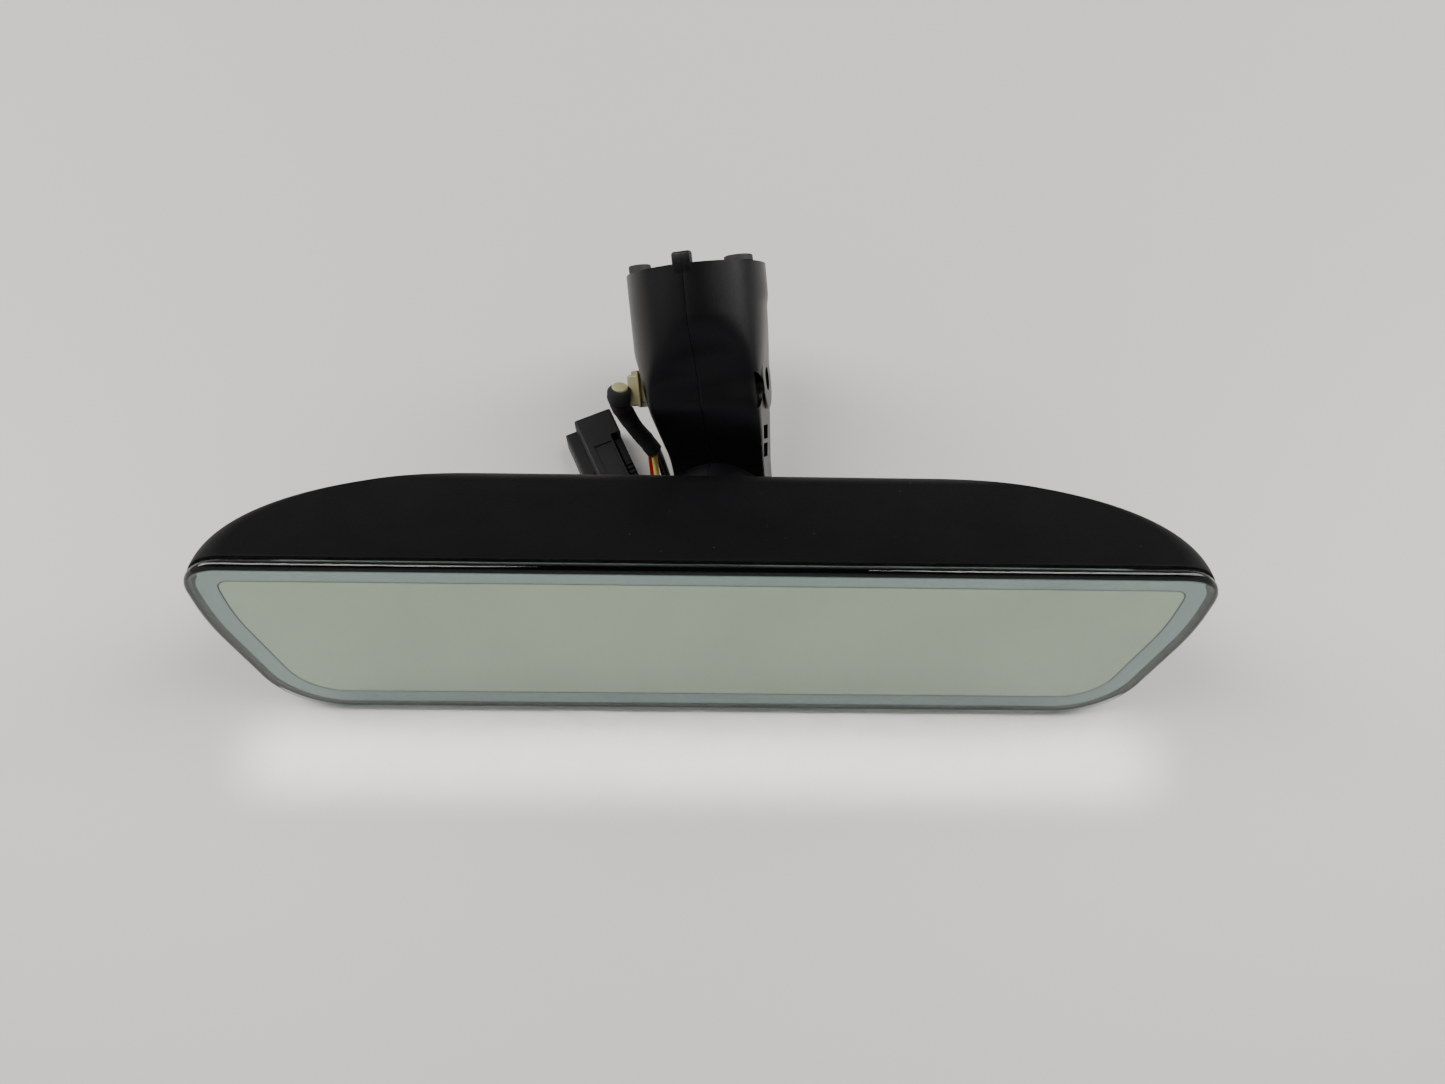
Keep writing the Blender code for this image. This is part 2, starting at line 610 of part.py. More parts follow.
def make_natural_plug(stand, parent, material):
    """Nose in the header, body outside the port, latch tab on top and a round hood at its end."""
    body = box_mesh((-21.8, -5.0, PORT_AT - 4.4), (-18.2, 5.0, PORT_AT + 4.4), 0.8)
    plug = add_object("natural_plug", body, parent, material, False)
    nose = box_mesh((-19, -3.6, PORT_AT - 3.4), (-11, 3.6, PORT_AT + 3.4))
    combine(plug, add_object("plug_nose", nose, parent, None, False), "UNION")
    tab = box_mesh((-21.2, -1.8, PORT_AT + 4), (-19.2, 1.8, PORT_AT + 5.6), 0.3)
    combine(plug, add_object("plug_tab", tab, parent, None, False), "UNION")
    end = Vector(TAPE_ROUTE[0])
    away = (end - Vector(TAPE_ROUTE[1])).normalized()
    hood = rod_mesh(end + away * GAP, end + away * 5, 3.4, 24)
    combine(plug, add_object("plug_hood", hood, stand, None), "UNION")


def make_loom_plug(parent, materials):
    """A multi-way connector lying on its side, with a stepped wing on its left and a lock channel."""
    block = box_mesh((-1.8, 0, 0.5), (9.8, PLUG_LENGTH, 15.0), 0.6)
    plug = add_object("loom_plug", block, parent, materials["plug"], False)
    wing = box_mesh((-5.2, 8, 0.5), (-1.0, PLUG_LENGTH, 8.6), 0.5)
    combine(plug, add_object("plug_wing", wing, parent, None, False), "UNION")
    channel = box_mesh((6.6, -1, 5.0), (12, 18.5, 16))
    combine(plug, add_object("plug_channel", channel, parent, None, False), "DIFFERENCE")
    face = box_mesh((0.0, 16.5, 2.4), (5.8, 30, 13.2))
    combine(plug, add_object("plug_face", face, parent, None, False), "DIFFERENCE")
    lock = box_mesh((7.2, 0.5, 5.4), (9.6, 17.5, 12.6), 0.4)
    add_object("plug_lock", lock, parent, materials["plug"], False)
    insert = box_mesh((0.4, 16.9, 2.8), (5.4, 20.0, 12.8))
    add_object("plug_insert", insert, parent, materials["inner"], False)


def make_loom(stand, arm, materials):
    make_natural_plug(stand, arm, materials["natural"])
    plug_place = add_empty("loom_plug_place", stand, PLUG_PLACE, (0, 0, PLUG_TURN))
    make_loom_plug(plug_place, materials)
    make_cord("taped_loom", stand, TAPE_ROUTE, TAPE_RADIUS, materials["tape"], 3.5, 3)
    finish = {"red": "red", "yellow": "yellow", "black_1": "black", "black_2": "black"}
    for name, route in WIRE_ROUTES.items():
        make_cord(f"wire_{name}", stand, route, WIRE_RADIUS, materials[finish[name]], 2.2)


def add_empty(name, parent, place, turn, order="XYZ"):
    empty = bpy.data.objects.new(name, None)
    bpy.context.collection.objects.link(empty)
    empty.parent = parent
    empty.location = Vector(place) * MM
    empty.rotation_mode = order
    empty.rotation_euler = Euler(turn, order)
    return empty


def clear_scene():
    for piece in list(bpy.data.objects):
        bpy.data.objects.remove(piece)


def main():
    clear_scene()
    materials = make_materials()
    stand = add_empty("stand_frame", None, (0, -STAND_CENTRE, 0), (0, 0, 0))
    head = add_empty("head_frame", stand, (0, 0, GLASS_CLEARANCE), (-GLASS_LEAN, 0, 0))
    arm_turn = (ARM_RISE - math.pi / 2, ARM_LEAN, ARM_ROLL)
    arm = add_empty("arm_frame", head, BALL, arm_turn, "ZXY")
    make_front_glass(head, materials["glass"])
    make_perimeter_ring(head, materials["ring"])
    make_layer("mirror_glass", head, materials["mirror"], RING_INNER_INSET + GAP, 3.5, 5.4)
    make_bus_clips(head, materials["copper"])
    make_foam_pad(head, materials["foam"])
    make_carrier(head, materials["inner"])
    make_electronics(head, materials)
    make_housing(head, materials["housing"])
    make_ball_joint(head, arm, materials)
    make_ball_stud(arm, materials["steel"])
    make_arm_right(arm, materials["arm"])
    make_arm_left(arm, materials["arm"])
    make_arm_screw(arm, materials["steel"])
    make_arm_header(arm, materials["inner"])
    make_foot(arm, materials)
    make_loom(stand, arm, materials)


main()
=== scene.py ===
"""Interior rearview mirror: the visible pieces, finishes and stage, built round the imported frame.

Pieces are drawn in millimetres in the frame of the part that they belong to, then settled into the row
frame in metres.
Head frame: X right, Y back from the glass, Z up along the glass, from the glass's lower edge.
Arm frame: Z along the arm from the ball to the foot, Y towards the arm's back, X right.
Stand frame: X right, Y back, Z up from the surface that the head stands on.
"""

import math

import bmesh
import bpy
from bpy.props import FloatProperty, FloatVectorProperty, PointerProperty
from mathutils import Euler, Matrix, Vector, noise


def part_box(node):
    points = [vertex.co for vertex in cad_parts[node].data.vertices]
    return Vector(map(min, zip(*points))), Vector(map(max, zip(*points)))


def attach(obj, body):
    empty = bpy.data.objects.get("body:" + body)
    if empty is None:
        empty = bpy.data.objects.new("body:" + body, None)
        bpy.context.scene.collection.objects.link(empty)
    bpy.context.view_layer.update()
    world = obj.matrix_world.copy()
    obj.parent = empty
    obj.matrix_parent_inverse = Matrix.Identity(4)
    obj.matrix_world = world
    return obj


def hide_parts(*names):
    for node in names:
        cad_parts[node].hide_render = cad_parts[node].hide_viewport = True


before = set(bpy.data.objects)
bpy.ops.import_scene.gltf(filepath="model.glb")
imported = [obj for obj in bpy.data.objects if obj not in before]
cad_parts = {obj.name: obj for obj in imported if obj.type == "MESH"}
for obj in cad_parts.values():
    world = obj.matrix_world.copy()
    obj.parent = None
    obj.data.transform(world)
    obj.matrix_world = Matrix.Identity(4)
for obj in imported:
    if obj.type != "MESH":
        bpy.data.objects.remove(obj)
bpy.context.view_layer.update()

bl_info = {
    "name": "Rearview Mirror",
    "version": (1, 0, 0),
    "blender": (4, 5, 0),
    "location": "View3D > Sidebar > Mirror",
    "description": "Builds an interior rearview mirror's visible pieces round its packed frame",
    "category": "Object",
}

MM = 0.001
CORNER_ANGLE = 0.6
GLASS_LOW, GLASS_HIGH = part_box("front_glass")

# Frames
STAND_CENTRE = 61.7
GLASS_CLEARANCE = 0.8
GLASS_LEAN = math.radians(16)
BALL = Vector((4.0, 45.5, 31.0))
ARM_TURN = Euler((math.radians(46 - 90), math.radians(-8.7), math.radians(-5)), "ZXY")
PLUG_PLACE = Vector((-27.0, 61.1, 0))
PLUG_TURN = math.radians(24.5)
STAND = Matrix.Diagonal((MM, MM, MM, 1)) @ Matrix.Translation((0, -STAND_CENTRE, 0))
HEAD = STAND @ Matrix.Translation((0, 0, GLASS_CLEARANCE)) @ Matrix.Rotation(-GLASS_LEAN, 4, "X")
ARM = HEAD @ Matrix.Translation(BALL) @ ARM_TURN.to_matrix().to_4x4()
PLUG = STAND @ Matrix.Translation(PLUG_PLACE) @ Matrix.Rotation(PLUG_TURN, 4, "Z")

# Mirror head
GLASS_HEIGHT = 65.5
HOUSING_FRONT = 3.6
HOUSING_BACK = 37.0
HOUSING_TOP = 65.3
ROOF_SLOPE = 0.12
BROW_START = 31.0
BROW_RADIUS = 6.1
HEEL_START = 31.0
HEEL_RADIUS = 6.0
HOUSING_WALL = 1.8
DOME_RADIUS = 17.0
DOME_INNER = 11.15
DOME_MOUTH = 31
SOCKET_MOUTH = 37
SKIRT_RADIUS = 17.6
SKIRT_BORE = 17.15
SENSOR = Vector((-27.0, 0, 41.0))

# Arm
ARM_START = 8.0
ARM_LENGTH = 69.4
FOOT_RADIUS = 19.4
ARM_WALL = 2.6
SHANK_BORE = 3.5
NOSE_TOP = 20.0
LEFT_CLIP = ((14, 10.9), (19, 11.2), (23, 12.4), (28, 13.7), (35, 15.8), (46, 18.6), (55, 32))
RIGHT_CLIP = ((14, 14.8), (27, 16.0), (38, 17.0), (49, 18.4), (60, 19.4), (66, 32))
FRONT_CLIP = ((12, 5.5), (18, 7.5), (32, 12.6), (39, 13.1), (45, 15.2), (54, 20.0), (60, 32))
FRONT_TURN = ((28, 0), (46, 10))
BACK_CLIP = ((14, 13.0), (42, 15.0), (57, 20.5), (64, 32))
CORNER_SHARPNESS = 22
BOSS_AT = 38.0
BOSS_END = 17.2
PAD_CIRCLE = 15.4
PORT_AT = 38.3

# Loom, in the stand frame
TAPE_ROUTE = (
    (-24.4, 82.7, 38.4), (-24.7, 81.1, 35.2), (-23.9, 80.9, 28.8),
    (-21.0, 78.7, 23.4), (-17.9, 76.8, 19.0), (-15.6, 75.3, 15.4),
)
WIRE_ROUTES = {
    "red": (
        (-16.5, 75.0, 14.2), (-16.3, 73.4, 10.3), (-15.4, 69.0, 4.8), (-14.0, 64.6, 1.7), (-13.4, 60.5, 1.1),
        (-14.6, 57.4, 1.1), (-17.2, 56.2, 1.1), (-19.2, 57.4, 1.6), (-20.2, 60.0, 3.2), (-21.2, 63.3, 4.6),
    ),
    "yellow": (
        (-15.4, 73.7, 15.2), (-15.0, 71.9, 11.9), (-14.4, 68.2, 7.4), (-13.5, 64.4, 4.2), (-13.4, 60.5, 3.2),
        (-14.6, 57.4, 3.2), (-17.2, 56.2, 3.4), (-19.2, 57.4, 4.6), (-20.2, 60.0, 7.4), (-21.2, 63.3, 9.2),
    ),
    "black_1": (
        (-15.2, 76.4, 14.3), (-14.1, 75.4, 9.6), (-12.4, 71.4, 3.8), (-10.7, 65.4, 1.3), (-10.1, 59.1, 1.1),
        (-12.7, 53.6, 1.1), (-17.6, 51.9, 1.1), (-22.0, 53.2, 1.3), (-24.3, 57.2, 3.0), (-25.4, 61.4, 4.6),
    ),
    "black_2": (
        (-14.3, 75.2, 15.9), (-13.1, 74.1, 11.3), (-11.3, 70.4, 6.3), (-10.1, 64.5, 3.6), (-10.1, 59.1, 3.2),
        (-12.7, 53.6, 3.2), (-17.6, 51.9, 3.2), (-22.0, 53.2, 3.8), (-24.3, 57.2, 7.0), (-25.4, 61.4, 9.2),
    ),
}


def colour_property(name, description, default):
    return FloatVectorProperty(
        name=name, description=description, subtype="COLOR", size=3, min=0, max=1, default=default
    )


def length_property(name, description, default):
    return FloatProperty(
        name=name, description=description, default=default, min=0, subtype="DISTANCE", unit="LENGTH"
    )


class MirrorSizes(bpy.types.PropertyGroup):
    """Sizes that change how the pieces are drawn, in metres."""

    glass_width: length_property("Glass width", "Widest part of the front glass", GLASS_HIGH.x - GLASS_LOW.x)
    glass_thickness: length_property("Glass thickness", "Front glass from face to face", 0.0033)
    glass_edge: length_property("Glass edge", "Depth of the front glass's rounded edge", 0.002)
    ring_outer: length_property("Ring outer inset", "From the glass's edge to the ring's outer edge", 0.0028)
    ring_inner: length_property("Ring inner inset", "From the glass's edge to the ring's inner edge", 0.0076)
    wire_diameter: length_property("Wire diameter", "Outside of each wire's insulation", 0.0017)
    tape_diameter: length_property("Wrap diameter", "Thickest part of the taped bundle", 0.0054)
    seam_gap: length_property("Seam gap", "Half of the groove between the arm's halves", 0.00006)


class MirrorFinishes(bpy.types.PropertyGroup):
    """Colours of the pieces."""

    housing: colour_property("Housing", "Rear housing's plastic", (0.0022, 0.0022, 0.0027))
    arm: colour_property("Arm", "Arm's satin plastic", (0.0014, 0.0014, 0.002))
    glass: colour_property("Glass", "Front glass's green tint", (0.76, 0.94, 0.88))
    ring: colour_property("Ring", "Metal film round the mirror", (0.34, 0.31, 0.36))
    mirror: colour_property("Mirror", "Reflecting layer", (0.54, 0.45, 0.38))
    nylon: colour_property("Nylon", "Unpigmented signal plug", (0.3, 0.28, 0.14))
    tape: colour_property("Tape", "Woven wrap on the loom", (0.006, 0.006, 0.007))
    plug: colour_property("Plug", "Harness connector", (0.004, 0.004, 0.0043))
    red: colour_property("Red wire", "Red insulation", (0.42, 0.012, 0.006))
    yellow: colour_property("Yellow wire", "Yellow insulation", (0.72, 0.6, 0.16))
    black: colour_property("Black wires", "Black insulation", (0.01, 0.01, 0.011))
    floor: colour_property("Floor", "Pale surface that the mirror stands on", (0.62, 0.605, 0.58))


class MirrorStage(bpy.types.PropertyGroup):
    """Camera and lights."""

    lens: FloatProperty(
        name="Lens", description="Focal length in millimetres", default=27.03, min=1, unit="CAMERA"
    )
    panel_power: FloatProperty(
        name="Panel power", description="Each soft panel, in watts", default=26, min=0, unit="POWER"
    )
    glow_power: FloatProperty(
        name="Glow power", description="Light thrown down by the mirror", default=0.02, min=0
    )
    room: FloatProperty(
        name="Room light", description="Strength of the light from all round", default=0.5, min=0
    )


# Selecting and shaping


def deselect():
    if bpy.context.mode != "OBJECT":
        bpy.ops.object.mode_set(mode="OBJECT")
    bpy.ops.object.select_all(action="DESELECT")


def make_active(piece):
    deselect()
    piece.select_set(True)
    bpy.context.view_layer.objects.active = piece


def take_new(name):
    """Names the object that an add operator has just made, with its place in its mesh."""
    bpy.ops.object.transform_apply(location=True, rotation=True, scale=True)
    piece = bpy.context.object
    piece.name = name
    piece.data.name = name
    return piece


def add_box(name, low, high):
    deselect()
    low, high = Vector(low), Vector(high)
    bpy.ops.mesh.primitive_cube_add(size=1, location=(low + high) / 2, scale=high - low)
    return take_new(name)


def add_rod(name, start, end, radius, sides=48):
    deselect()
    start, end = Vector(start), Vector(end)
    run = end - start
    bpy.ops.mesh.primitive_cylinder_add(
        vertices=sides,
        radius=radius,
        depth=run.length,
        location=(start + end) / 2,
        rotation=run.to_track_quat("Z", "Y").to_euler(),
    )
    return take_new(name)


def add_cone(name, low, low_radius, high, high_radius):
    """An upright cone between two heights."""
    deselect()
    bpy.ops.mesh.primitive_cone_add(
        vertices=96,
        radius1=low_radius,
        radius2=high_radius,
        depth=high - low,
        location=(0, 0, (low + high) / 2),
    )
    return take_new(name)


def add_ball(name, centre, radius, segments=96, rings=64):
    deselect()
    bpy.ops.mesh.primitive_uv_sphere_add(segments=segments, ring_count=rings, radius=radius, location=centre)
    return take_new(name)


def open_with(piece, kind, test):
    """Opens the piece in edit mode with the faces, edges or points that pass the test selected."""
    make_active(piece)
    bpy.ops.object.mode_set(mode="EDIT")
    bpy.ops.mesh.select_mode(type=kind)
    bpy.ops.mesh.select_all(action="DESELECT")
    bm = bmesh.from_edit_mesh(piece.data)
    items = {"FACE": bm.faces, "EDGE": bm.edges, "VERT": bm.verts}[kind]
    for item in items:
        if test(item):
            item.select_set(True)
    bm.select_flush_mode()
    bmesh.update_edit_mesh(piece.data)


def close_edit():
    bpy.ops.object.mode_set(mode="OBJECT")


def is_corner(edge):
    return edge.calc_face_angle() > CORNER_ANGLE


def edge_middle(edge):
    return (edge.verts[0].co + edge.verts[1].co) / 2


def round_edges(piece, width, segments=3, test=None):
    """Bevels the piece's sharp edges, or those that pass the test."""
    open_with(piece, "EDGE", test or (lambda edge: len(edge.link_faces) == 2 and is_corner(edge)))
    bpy.ops.mesh.bevel(offset=width, segments=segments, profile=0.5, clamp_overlap=True)
    close_edit()


def apply_modifier(piece, kind, **settings):
    make_active(piece)
    modifier = piece.modifiers.new(kind.lower(), kind)
    for name, value in settings.items():
        setattr(modifier, name, value)
    bpy.ops.object.modifier_apply(modifier=modifier.name)


def combine(piece, other, operation="DIFFERENCE"):
    """Cuts the other shape out of the piece or joins it on, and removes the other."""
    apply_modifier(piece, "BOOLEAN", object=other, operation=operation, solver="EXACT")
    bpy.data.objects.remove(other)


def loft(name, rings, closed=False):
    """A skin over rings of equal length, capped, or joined end to end when closed."""
    bm = bmesh.new()
    rows = [[bm.verts.new(point) for point in ring] for ring in rings]
    pairs = list(zip(rows, rows[1:]))
    if closed:
        pairs.append((rows[-1], rows[0]))
    else:
        bm.faces.new(rows[0])
        bm.faces.new(rows[-1])
    for near, far in pairs:
        for index in range(len(near)):
            after = (index + 1) % len(near)
            bm.faces.new((near[index], near[after], far[after], far[index]))
    bmesh.ops.recalc_face_normals(bm, faces=bm.faces)
    mesh = bpy.data.meshes.new(name)
    bm.to_mesh(mesh)
    bm.free()
    piece = bpy.data.objects.new(name, mesh)
    bpy.context.scene.collection.objects.link(piece)
    return piece


def settle(piece, place, body, material, nodes=(), smooth=35):
    """Puts a finished piece into the row frame, on its body, in place of its CAD nodes."""
    piece.data.transform(place)
    make_active(piece)
    bpy.ops.object.shade_smooth_by_angle(angle=math.radians(smooth))
    piece.data.materials.clear()
    piece.data.materials.append(material)
    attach(piece, body)
    if nodes:
        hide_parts(*nodes)
    return piece


def between(knots, at):
    """Reads a value from (place, value) pairs, on straight lines from one pair to the next."""
    if at <= knots[0][0]:
        return knots[0][1]
    for (start, low), (end, high) in zip(knots, knots[1:]):
        if at <= end:
            return low + (high - low) * (at - start) / (end - start)
    return knots[-1][1]


def smoothed(knots, at, reach=2.0):
    """The same reading with its corners eased over the reach."""
    steps = 4
    total = sum(between(knots, at + reach * step / steps) for step in range(-steps, steps + 1))
    return total / (2 * steps + 1)


def smooth_route(route, spacing):
    """Catmull-Rom points through the route, one about every spacing."""
    knots = [Vector(point) for point in route]
    knots = [2 * knots[0] - knots[1]] + knots + [2 * knots[-1] - knots[-2]]
    points = [knots[1]]
    for before, start, end, after in zip(knots, knots[1:], knots[2:], knots[3:]):
        count = max(1, round((end - start).length / spacing))
        for step in range(1, count + 1):
            t = step / count
            cubic = 2 * start + (end - before) * t
            cubic += (2 * before - 5 * start + 4 * end - after) * t**2
            cubic += (3 * start - before - 3 * end + after) * t**3
            points.append(cubic / 2)
    return points


# Shader nodes


def put(tree, kind, inputs=None, **settings):
    """Adds a shader node. An input is a plain value or the socket that feeds it."""
    node = tree.nodes.new(kind)
    for name, value in settings.items():
        setattr(node, name, value)
    for name, value in (inputs or {}).items():
        if isinstance(value, bpy.types.NodeSocket):
            tree.links.new(value, node.inputs[name])
        else:
            node.inputs[name].default_value = value
    return node


def mix_colours(tree, factor, first, second, blend="MIX"):
    inputs = {0: factor, 6: first, 7: second}
    return put(tree, "ShaderNodeMix", inputs, data_type="RGBA", blend_type=blend).outputs[2]


def remap(tree, value, low, high, to_low, to_high):
    inputs = {"Value": value, "From Min": low, "From Max": high, "To Min": to_low, "To Max": to_high}
    return put(tree, "ShaderNodeMapRange", inputs).outputs["Result"]


def noise_texture(tree, where, scale, detail):
    return put(tree, "ShaderNodeTexNoise", {"Vector": where, "Scale": scale, "Detail": detail})


def add_bump(tree, shader, height, strength, distance):
    normal = put(tree, "ShaderNodeBump", {"Height": height, "Strength": strength, "Distance": distance})
    tree.links.new(normal.outputs["Normal"], shader.inputs["Normal"])


def maths(tree, operation, first, second=0.5):
    return put(tree, "ShaderNodeMath", {0: first, 1: second}, operation=operation).outputs[0]


def new_group(name, inputs, outputs):
    """A node group with (name, socket type, default) inputs and (name, socket type) outputs."""
    group = bpy.data.node_groups.new(name, "ShaderNodeTree")
    for label, kind, default in inputs:
        socket = group.interface.new_socket(label, in_out="INPUT", socket_type=kind)
        if default is not None:
            socket.default_value = default
    for label, kind in outputs:
        group.interface.new_socket(label, in_out="OUTPUT", socket_type=kind)
    return group, put(group, "NodeGroupInput").outputs, put(group, "NodeGroupOutput").inputs


def make_grain_group():
    """Moulded grain: small cells for height, and slow patches for tone."""
    group, given, result = new_group(
        "moulded_grain",
        [
            ("Vector", "NodeSocketVector", None),
            ("Cells", "NodeSocketFloat", 2200.0),
            ("Patches", "NodeSocketFloat", 60.0),
        ],
        [("Height", "NodeSocketFloat"), ("Patch", "NodeSocketFloat")],
    )
    inputs = {"Vector": given["Vector"], "Scale": given["Cells"]}
    cells = put(group, "ShaderNodeTexVoronoi", inputs, feature="SMOOTH_F1")
    fine = noise_texture(group, given["Vector"], given["Cells"], 2.0)
    height = maths(group, "ADD", cells.outputs["Distance"], fine.outputs["Fac"])
    group.links.new(height, result["Height"])
    patch = noise_texture(group, given["Vector"], given["Patches"], 4.0)
    group.links.new(remap(group, patch.outputs["Fac"], 0.35, 0.65, 0.0, 1.0), result["Patch"])
    return group


def make_dust_group():
    """Specks of dust and soft wiping marks, as masks from 0 to 1."""
    group, given, result = new_group(
        "dust_and_marks",
        [
            ("Vector", "NodeSocketVector", None),
            ("Specks", "NodeSocketFloat", 0.06),
            ("Spread", "NodeSocketFloat", 260.0),
        ],
        [("Dust", "NodeSocketFloat"), ("Marks", "NodeSocketFloat")],
    )
    dots = put(group, "ShaderNodeTexVoronoi", {"Vector": given["Vector"], "Scale": given["Spread"]})
    speck = maths(group, "LESS_THAN", dots.outputs["Distance"], given["Specks"])
    clumps = noise_texture(group, given["Vector"], 35.0, 3.0)
    patchy = remap(group, clumps.outputs["Fac"], 0.48, 0.62, 0.0, 1.0)
    group.links.new(maths(group, "MULTIPLY", speck, patchy), result["Dust"])
    inputs = {"Vector": given["Vector"], "Scale": 22.0, "Detail": 6.0, "Distortion": 1.2}
    wiped = put(group, "ShaderNodeTexNoise", inputs)
    group.links.new(remap(group, wiped.outputs["Fac"], 0.4, 0.75, 0.0, 1.0), result["Marks"])
    return group


def make_wrap_group():
    """Woven tape wound round a bundle. U runs round it and V along it, both in turns."""
    group, given, result = new_group(
        "woven_wrap",
        [
            ("UV", "NodeSocketVector", None),
            ("Threads", "NodeSocketFloat", 30.0),
            ("Turns", "NodeSocketFloat", 5.0),
        ],
        [("Height", "NodeSocketFloat"), ("Shade", "NodeSocketFloat")],
    )
    axes = put(group, "ShaderNodeSeparateXYZ", {"Vector": given["UV"]})
    turned = maths(group, "MULTIPLY", axes.outputs["Y"], given["Turns"])
    slant = maths(group, "ADD", turned, axes.outputs["X"])
    lap = maths(group, "FRACT", slant)
    across_pitch = maths(group, "MULTIPLY", given["Threads"], 6.283)
    across = maths(group, "SINE", maths(group, "MULTIPLY", slant, across_pitch))
    along_pitch = maths(group, "MULTIPLY", given["Threads"], 12.566)
    along = maths(group, "SINE", maths(group, "MULTIPLY", axes.outputs["X"], along_pitch))
    weave = maths(group, "MULTIPLY", across, along)
    fuzz = noise_texture(group, given["UV"], 90.0, 5.0)
    thread = maths(group, "ADD", maths(group, "MULTIPLY", weave, 0.35), fuzz.outputs["Fac"])
    # Lap mask: zero at the start of each turn. It raises the bump there and also darkens the colour there as
    # painted shade in the step under the turn above.
    edge = remap(group, lap, 0.0, 0.12, 0.0, 1.0)
    group.links.new(maths(group, "ADD", thread, edge), result["Height"])
    group.links.new(maths(group, "MULTIPLY", remap(group, thread, 0.2, 1.0, 0.4, 1.0), edge), result["Shade"])
    return group


GROUP_MAKERS = {
    "moulded_grain": make_grain_group,
    "dust_and_marks": make_dust_group,
    "woven_wrap": make_wrap_group,
}


def use_group(tree, name, inputs):
    group = bpy.data.node_groups.get(name) or GROUP_MAKERS[name]()
    return put(tree, "ShaderNodeGroup", inputs, node_tree=group).outputs


def new_material(name, colour):
    """An empty node material with its shader, and the Object coordinates that its patterns read."""
    material = bpy.data.materials.new(name)
    material.use_nodes = True
    material.diffuse_color = (*colour, 1)
    tree = material.node_tree
    where = put(tree, "ShaderNodeTexCoord").outputs["Object"]
    return material, tree, tree.nodes["Principled BSDF"], where


def shade(colour, factor):
    return (*(min(1.0, part * factor) for part in colour[:3]), 1)


def make_plastic(name, colour, roughness, cells, bump, contrast, dust, sheen=0.5):
    """Moulded plastic with its grain, slow changes of tone, wiping marks and a few specks of dust."""
    material, tree, shader, where = new_material(name, colour)
    grain = use_group(tree, "moulded_grain", {"Vector": where, "Cells": float(cells)})
    marks = use_group(tree, "dust_and_marks", {"Vector": where})
    tone = mix_colours(tree, grain["Patch"], shade(colour, 1 - contrast), shade(colour, 1 + contrast))
    dusty = maths(tree, "MULTIPLY", marks["Dust"], dust)
    tree.links.new(mix_colours(tree, dusty, tone, (0.3, 0.29, 0.28, 1)), shader.inputs["Base Color"])
    gloss = remap(tree, marks["Marks"], 0.0, 1.0, roughness[0], roughness[1])
    tree.links.new(gloss, shader.inputs["Roughness"])
    add_bump(tree, shader, grain["Height"], bump, 0.00012)
    shader.inputs["Specular IOR Level"].default_value = sheen
    return material


def make_metal(name, colour, roughness=(0.25, 0.4), stretch=(1, 1, 30), bump=0.05):
    """Plated metal with fine drawn lines and a slow change of gloss."""
    material, tree, shader, where = new_material(name, colour)
    drawn = put(tree, "ShaderNodeMapping", {"Vector": where, "Scale": stretch})
    lines = noise_texture(tree, drawn.outputs["Vector"], 300.0, 3.0)
    marks = use_group(tree, "dust_and_marks", {"Vector": where})
    tone = mix_colours(tree, marks["Marks"], shade(colour, 0.85), shade(colour, 1.05))
    tree.links.new(tone, shader.inputs["Base Color"])
    tree.links.new(remap(tree, lines.outputs["Fac"], 0.3, 0.7, *roughness), shader.inputs["Roughness"])
    add_bump(tree, shader, lines.outputs["Fac"], bump, 0.0001)
    shader.inputs["Metallic"].default_value = 1.0
    return material


def make_reflector(name, colour, roughness, dust):
    """A metal layer behind the glass, a little uneven in tone."""
    material, tree, shader, where = new_material(name, colour)
    marks = use_group(tree, "dust_and_marks", {"Vector": where, "Specks": dust, "Spread": 150.0})
    tone = mix_colours(tree, marks["Marks"], shade(colour, 1.0), shade(colour, 0.96))
    tone = mix_colours(tree, maths(tree, "MULTIPLY", marks["Dust"], 0.3), tone, (0.25, 0.26, 0.25, 1))
    tree.links.new(tone, shader.inputs["Base Color"])
    tree.links.new(remap(tree, marks["Marks"], 0.0, 1.0, *roughness), shader.inputs["Roughness"])
    shader.inputs["Metallic"].default_value = 1.0
    return material


def make_glass(name, colour):
    """Clear green glass with faint wiping marks."""
    material, tree, shader, where = new_material(name, colour)
    marks = use_group(tree, "dust_and_marks", {"Vector": where})
    tone = mix_colours(tree, marks["Marks"], shade(colour, 1.0), shade(colour, 0.97))
    tree.links.new(tone, shader.inputs["Base Color"])
    tree.links.new(remap(tree, marks["Marks"], 0.0, 1.0, 0.0, 0.03), shader.inputs["Roughness"])
    shader.inputs["Transmission Weight"].default_value = 1.0
    shader.inputs["IOR"].default_value = 1.5
    return material


def make_nylon(name, colour):
    """Unpigmented nylon: waxy, cloudy and a little translucent."""
    material, tree, shader, where = new_material(name, colour)
    cloud = noise_texture(tree, where, 240.0, 4.0)
    grain = use_group(tree, "moulded_grain", {"Vector": where, "Cells": 1800.0})
    tone = mix_colours(tree, cloud.outputs["Fac"], shade(colour, 0.7), shade(colour, 1.2))
    tree.links.new(tone, shader.inputs["Base Color"])
    tree.links.new(remap(tree, cloud.outputs["Fac"], 0.3, 0.7, 0.3, 0.45), shader.inputs["Roughness"])
    add_bump(tree, shader, grain["Height"], 0.08, 0.0001)
    shader.inputs["Subsurface Weight"].default_value = 0.3
    shader.inputs["Subsurface Scale"].default_value = 0.002
    return material


